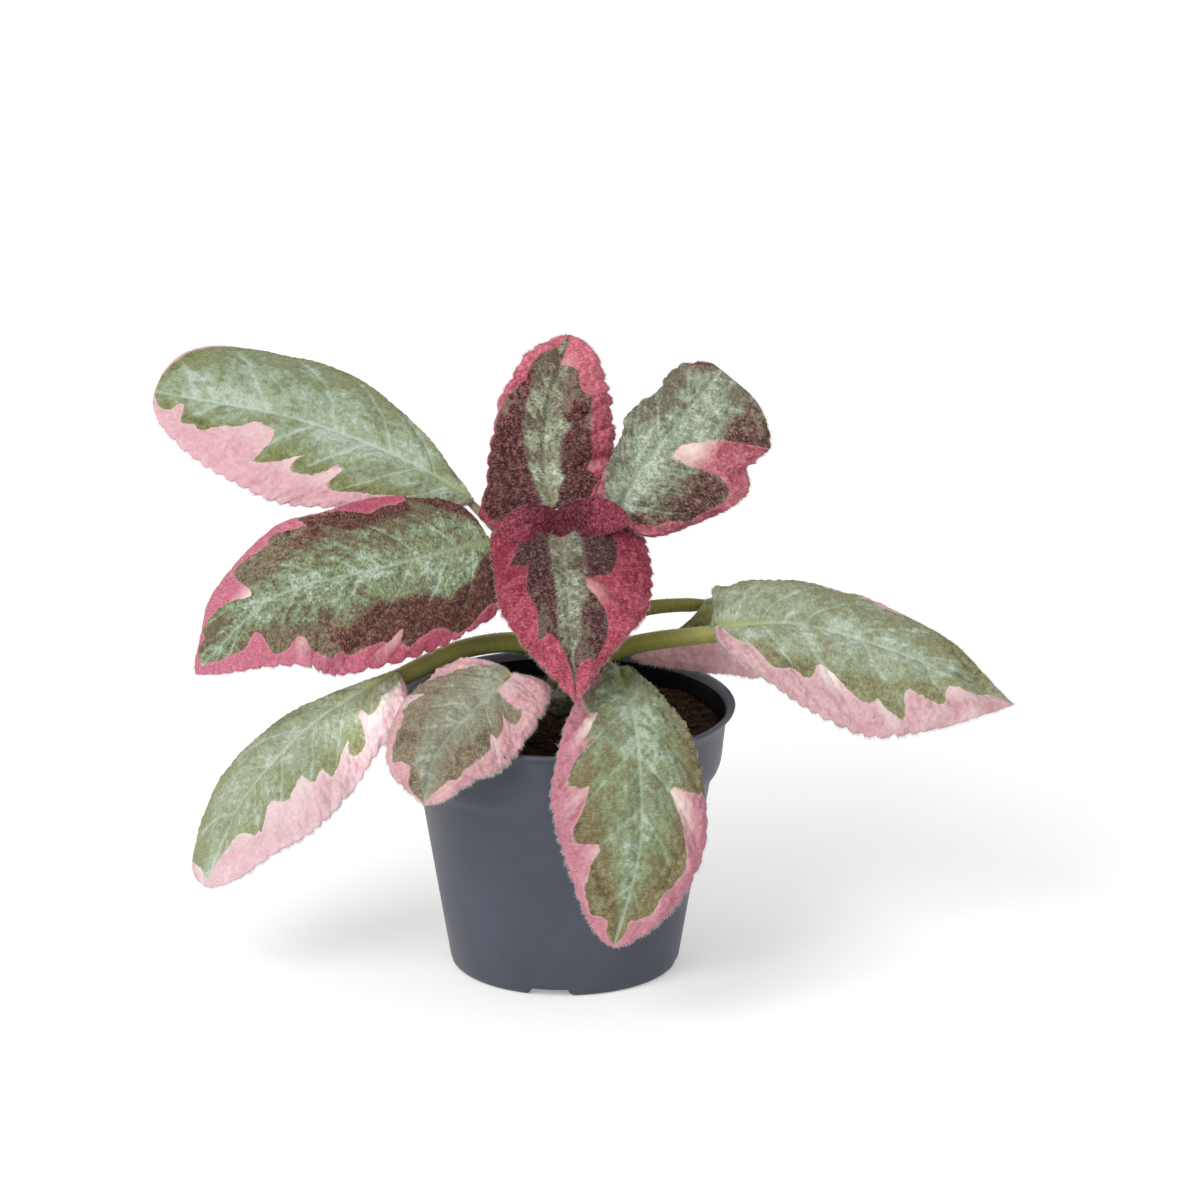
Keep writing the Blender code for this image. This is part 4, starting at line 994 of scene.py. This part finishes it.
# The pot's outside and inside, from rim to base, as (radius, height) in millimetres.
POT_OUTSIDE = [(51.3, 83.5), (52.2, 83.3), (52.5, 82.8), (52.3, 82.2), (51.6, 81.7), (50.8, 81.0),
               (50.2, 80.0), (49.6, 78), (48.3, 66.5), (48.0, 65.2), (47.2, 63.2), (46.1, 61.6),
               (45.3, 60.4), (44.9, 59.2), (42.5, 45), (40, 30), (37.5, 15), (35.4, 2.4),
               (34.9, 0.9), (34.1, 0.2), (33, 0)]
BASE_RINGS = (33, 30, 26, 22, 19, 15, 8)
POT_INSIDE = [(51.3, 83.5), (50.7, 83.2), (50.3, 82.6), (49.6, 81.2), (49.0, 79.0), (48.3, 76),
              (47.1, 66.2), (46.6, 64.4), (44.9, 61.9), (43.8, 60), (34.5, 4.6), (33.6, 3.8),
              (32.4, 3.6), (0.01, 3.6)]
POT_STEPS = 240
OUTSIDE_SPACING, INSIDE_SPACING = 0.81, 4.0
# Channels run from a radius of CHANNEL_REACH out through the base's edge. The slope is how
# wide each side wall is, seen from below.
CHANNEL_TURN = math.radians(-7.4)
CHANNEL_WIDTH, CHANNEL_SLOPE = 14.0, 1.6
CHANNEL_HEIGHT, CHANNEL_REACH = 2.3, 19
DRAIN_CIRCLE, DRAIN_RADIUS = 24.0, 3.5
# Faces of the base below this height and within this radius are shaded flat.
FLAT_HEIGHT, FLAT_REACH = 5, 32


def level_ring(radius, height, angle):
    """A ring of points round the upright axis."""
    height = np.broadcast_to(height, angle.shape)
    return np.stack([radius * np.cos(angle), radius * np.sin(angle), height], -1)


def subdivided(outline, spacing):
    """The outline's points with more between them, about the spacing apart."""
    rows = []
    for (r0, h0), (r1, h1) in zip(outline, outline[1:]):
        steps = max(1, int(math.hypot(r1 - r0, h1 - h0) / spacing))
        rows += [(r0 + (r1 - r0) * s / steps, h0 + (h1 - h0) * s / steps) for s in range(steps)]
    return rows


def build_pot():
    """The turned pot, with four channels under its base and a drain hole in each. Its inside
    is painted near black from just under the lip: compost stain and painted shade."""
    angle = np.linspace(0, 2 * np.pi, POT_STEPS, endpoint=False) + CHANNEL_TURN
    nearest = (angle - CHANNEL_TURN + np.pi / 4) % (np.pi / 2) - np.pi / 4
    outer = []
    base = [(radius, 0.0) for radius in BASE_RINGS]
    for radius, height in subdivided(POT_OUTSIDE, OUTSIDE_SPACING) + base:
        sideways = np.abs(np.sin(nearest)) * radius
        roof = CHANNEL_HEIGHT * np.clip((CHANNEL_WIDTH / 2 - sideways) / CHANNEL_SLOPE, 0, 1)
        roof = roof if radius >= CHANNEL_REACH else 0
        outer.append(level_ring(radius, np.maximum(height, roof), angle))
    inner = [level_ring(r, h, angle) for r, h in subdivided(POT_INSIDE, INSIDE_SPACING)[1:]]
    rings = np.array(outer[::-1] + inner) * MM
    floor = np.array([0, 0, POT_INSIDE[-1][1]]) * MM
    pot = closed_rings("pot_look", rings, [floor * 0, floor])
    pot.data.materials.append(pot_material("pot_plastic", 0.3, 0.0))
    pot.data.materials.append(pot_material("pot_inside_stain_and_shade", 0.02, 1.0))
    # Faces wholly inside from here on get the near-black inside: compost stain and painted shade.
    stain_and_shade_from = (len(outer) + 2) * POT_STEPS
    slots = [int(min(face.vertices) >= stain_and_shade_from) for face in pot.data.polygons]
    pot.data.polygons.foreach_set("material_index", slots)
    drill_holes(pot)
    return pot


def drill_holes(pot):
    """Cuts a round drain hole through the base in each channel. The base is shaded flat."""
    mesh = bmesh.new()
    for quarter in range(4):
        turn = CHANNEL_TURN + math.radians(90) * quarter
        place = Vector((math.cos(turn), math.sin(turn), 0)) * DRAIN_CIRCLE * MM
        bmesh.ops.create_cone(mesh, cap_ends=True, segments=32, radius1=DRAIN_RADIUS * MM,
                              radius2=DRAIN_RADIUS * MM, depth=12 * MM,
                              matrix=Matrix.Translation(place))
    drills = bpy.data.meshes.new("drills")
    mesh.to_mesh(drills)
    mesh.free()
    cutter = linked("drills", drills)
    cut = pot.modifiers.new("holes", "BOOLEAN")
    cut.object, cut.operation, cut.solver = cutter, "DIFFERENCE", "EXACT"
    bpy.context.view_layer.update()
    result = pot.evaluated_get(bpy.context.evaluated_depsgraph_get())
    drilled = bpy.data.meshes.new_from_object(result)
    pot.modifiers.clear()
    pot.data = drilled
    bpy.data.objects.remove(cutter)
    for face in drilled.polygons:
        if face.center.z < FLAT_HEIGHT * MM and face.center.xy.length < FLAT_REACH * MM:
            face.use_smooth = False


# The top is level at the edge, from EDGE_SHARE of its radius, where it meets the pot.
SOIL_RADIUS = 48.0
SOIL_HEIGHT = 77.8
SOIL_EDGE_HEIGHT = 75.8
SOIL_CROWN = 1.6
SOIL_RINGS = 70
SOIL_STEPS = 220
SOIL_SIDE = [(47.0, 66.5), (46.2, 64.3), (44.6, 62.0), (43.3, 59.5), (33.5, 4.2)]
EDGE_SHARE = 0.985
CHIP_HEIGHT, CHIP_REACH = 78.2, 47
CHIP_SQUASH = np.array([1, 1, 0.45])
STEM_CLEARANCE = 6


def build_soil(material):
    """Peaty compost: a lumpy crowned top, a plain side hidden by the pot."""
    angle = np.linspace(0, 2 * np.pi, SOIL_STEPS, endpoint=False)
    top = []
    for share in np.linspace(0, 1, SOIL_RINGS + 1)[1:]:
        ring = level_ring(share * SOIL_RADIUS, 0.0, angle)
        lumps = 0.9 * fractal(ring, 9, 5, 3) + 0.5 * np.abs(noise(ring, 1.6, 4))
        height = SOIL_HEIGHT - SOIL_CROWN * share ** 2 + lumps
        ring[:, 2] = height if share <= EDGE_SHARE else SOIL_EDGE_HEIGHT
        top.append(ring)
    side = [level_ring(radius, height, angle) for radius, height in SOIL_SIDE]
    ends = np.array([[0, 0, SOIL_SIDE[-1][1]], [0, 0, top[0][:, 2].mean()]])
    piece = closed_rings("soil_look", np.array((top + side)[::-1]) * MM, ends * MM)
    piece.data.materials.append(material)
    return piece


def chips(name, material, seed, count, spread, sizes, flatness):
    """Loose bits lying in the compost: closed, angular and turned every way."""
    draw = np.random.RandomState(seed)
    shape = np.array([[1, 0, 0], [-1, 0, 0], [0, 1, 0], [0, -1, 0], [0, 0, 1], [0, 0, -1]], float)
    faces = np.array([[0, 2, 4], [2, 1, 4], [1, 3, 4], [3, 0, 4],
                      [2, 0, 5], [1, 2, 5], [3, 1, 5], [0, 3, 5]])
    points = []
    for _ in range(count):
        r, a = spread * math.sqrt(draw.rand()), draw.rand() * 2 * math.pi
        x, y = r * math.cos(a), r * math.sin(a)
        if math.hypot(x - STEM_BASE[0], y - STEM_BASE[1]) < STEM_CLEARANCE:
            continue
        size = draw.uniform(*sizes)
        body = shape * draw.uniform(0.7, 1.3, (6, 1)) * np.array([1, flatness, flatness]) * size
        turn = np.linalg.qr(draw.randn(3, 3))[0]
        turn[:, 2] *= np.sign(np.linalg.det(turn))
        height = CHIP_HEIGHT - SOIL_CROWN * (r / CHIP_REACH) ** 2 + draw.uniform(-0.2, 0.7)
        points.append(body @ turn.T * CHIP_SQUASH + [x, y, height])
    faces = (np.arange(len(points))[:, None, None] * 6 + faces).reshape(-1, 3).tolist()
    piece = new_mesh(name, np.concatenate(points) * MM, faces, smooth=False)
    piece.data.materials.append(material)
    return piece


def declare(piece, slot, *nodes):
    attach(piece, "root")
    if nodes:
        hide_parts(*nodes)


def aim(thing, place, target):
    thing.location = place
    thing.rotation_euler = (Vector(target) - Vector(place)).to_track_quat("-Z", "Y").to_euler()


def build_lamps():
    for name, (energy, place) in LAMPS.items():
        light = bpy.data.lights.new(name, "AREA")
        light.energy, light.size = energy, LAMP_SIZE
        aim(linked(name, light), place, LAMP_TARGET)


def seen_plainly(nodes):
    """A value that is 1 for what the camera, a reflection or a clear thing sees, else 0."""
    seen = nodes.node("LightPath", "Is Camera Ray", {})
    for label in ("Is Glossy Ray", "Is Transmission Ray"):
        seen = nodes.math("MAXIMUM", seen, nodes.node("LightPath", label, {}))
    return seen


def build_stage():
    """A white floor that keeps the soft shadow."""
    paint = Paint("floor_white", Roughness=1.0, Specular_IOR_Level=0.0,
                  Emission_Color=(1.0, 1.0, 1.0))
    glow = paint.times(seen_plainly(paint), FLOOR_GLOW)
    paint.set(paint.shader.inputs["Emission Strength"], glow)
    colour = paint.mix(paint.noise(paint.where(), 40.0), (0.9, 0.9, 0.9), (0.91, 0.91, 0.91))
    floor = new_mesh("floor", [(-6, -6, 0), (6, -6, 0), (6, 6, 0), (-6, 6, 0)], [[0, 1, 2, 3]])
    floor.data.materials.append(paint.finish(colour))


def build_world():
    """A white world: plain white where it is seen, dimmer as a light."""
    world = bpy.data.worlds.new("studio")
    bpy.context.scene.world = world
    world.use_nodes = True
    nodes = Nodes(world.node_tree)
    background = nodes.tree.nodes["Background"]
    nodes.set(background.inputs["Color"], (1.0, 1.0, 1.0))
    strength = nodes.step(seen_plainly(nodes), 0.0, 1.0, WORLD_LIGHT, 1.0)
    nodes.set(background.inputs["Strength"], strength)


def build_camera():
    data = bpy.data.cameras.new("camera")
    data.lens, data.sensor_width, data.clip_end = CAMERA_LENS, 36.0, 50
    back = Vector((0, -math.cos(CAMERA_ELEVATION), math.sin(CAMERA_ELEVATION)))
    camera = linked("camera", data)
    aim(camera, CAMERA_TARGET + back * CAMERA_DISTANCE, CAMERA_TARGET)
    bpy.context.scene.camera = camera


def build_leaves():
    """Every leaf and its hairs. The red leaves have rosy hairs and a red underside."""
    pale = (under_material("under_pale", (0.30, 0.28, 0.16), (0.45, 0.42, 0.26)), WHITE_HAIR)
    red = (under_material("under_red", (0.26, 0.07, 0.08), (0.36, 0.2, 0.14)),
           hair_material("hair_rosy", (0.6, 0.36, 0.34)))
    for name, leaf in LEAVES.items():
        under, hair = red if leaf["palette"] in RED else pale
        piece, surface = build_leaf(name, leaf, under)
        declare(piece, leaf["slot"], name)
        hairs = YOUNG_HAIRS if leaf["palette"] == "young" else LEAF_HAIRS
        declare(leaf_hairs(name, surface, hair, *hairs), leaf["slot"])


def build_stalks():
    for name, leaf in LEAVES.items():
        if "stalk" not in leaf:
            continue
        stalk = name.replace("leaf", "stalk")
        path, radii = stalk_path(leaf)
        piece = tube(stalk + "_look", path, radii)
        colours = leaf.get("stalk_colours", STALK_COLOURS)
        piece.data.materials.append(stalk_material(stalk + "_skin", *colours))
        declare(piece, "stalk", stalk)
        hairs = stalk_hairs(stalk + "_hairs", path, radii, STALK_HAIRS, WHITE_HAIR)
        declare(hairs, "stalk")


def build_stem():
    path, _ = smooth_path(STEM_LINE, STEM_STEPS)
    radii = np.interp(np.linspace(0, 1, STEM_STEPS), *zip(*STEM_RADII)) * MM
    piece = tube("stem_look", path * MM, radii, sides=28)
    piece.data.materials.append(stalk_material("stem_skin", (0.05, 0.05, 0.02), (0.12, 0.10, 0.04)))
    declare(piece, "stem", "stem")
    declare(stalk_hairs("stem_hairs", path * MM, radii, STEM_HAIRS, WHITE_HAIR), "stem")


def build_compost():
    """The soil, with crumbs of bark and loose fibres on it."""
    declare(build_soil(soil_material("compost", (0.008, 0.005, 0.003), (0.06, 0.036, 0.02))),
            "soil", "soil")
    bark = soil_material("bark", (0.028, 0.017, 0.009), (0.14, 0.085, 0.048))
    crumbs = chips("soil_crumbs", bark, 11, count=900, spread=46, sizes=(0.5, 1.6), flatness=0.6)
    declare(crumbs, "soil")
    fibre = soil_material("fibre", (0.03, 0.02, 0.01), (0.10, 0.07, 0.04))
    fibres = chips("soil_fibres", fibre, 12, count=160, spread=44, sizes=(1.5, 5.0), flatness=0.07)
    declare(fibres, "soil")


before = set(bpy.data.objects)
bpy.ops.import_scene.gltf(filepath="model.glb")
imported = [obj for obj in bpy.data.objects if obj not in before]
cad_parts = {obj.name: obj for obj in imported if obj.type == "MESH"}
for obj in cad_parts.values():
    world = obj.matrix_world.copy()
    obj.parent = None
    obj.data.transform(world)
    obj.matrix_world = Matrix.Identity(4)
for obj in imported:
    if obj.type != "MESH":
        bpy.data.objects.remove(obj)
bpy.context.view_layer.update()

build_camera()
build_world()
build_stage()
build_lamps()

WHITE_HAIR = hair_material("hair_white", (0.75, 0.72, 0.66))
build_leaves()
build_stalks()
build_stem()
declare(build_pot(), "pot", "pot")
build_compost()

bpy.context.scene.view_settings.view_transform = "Standard"
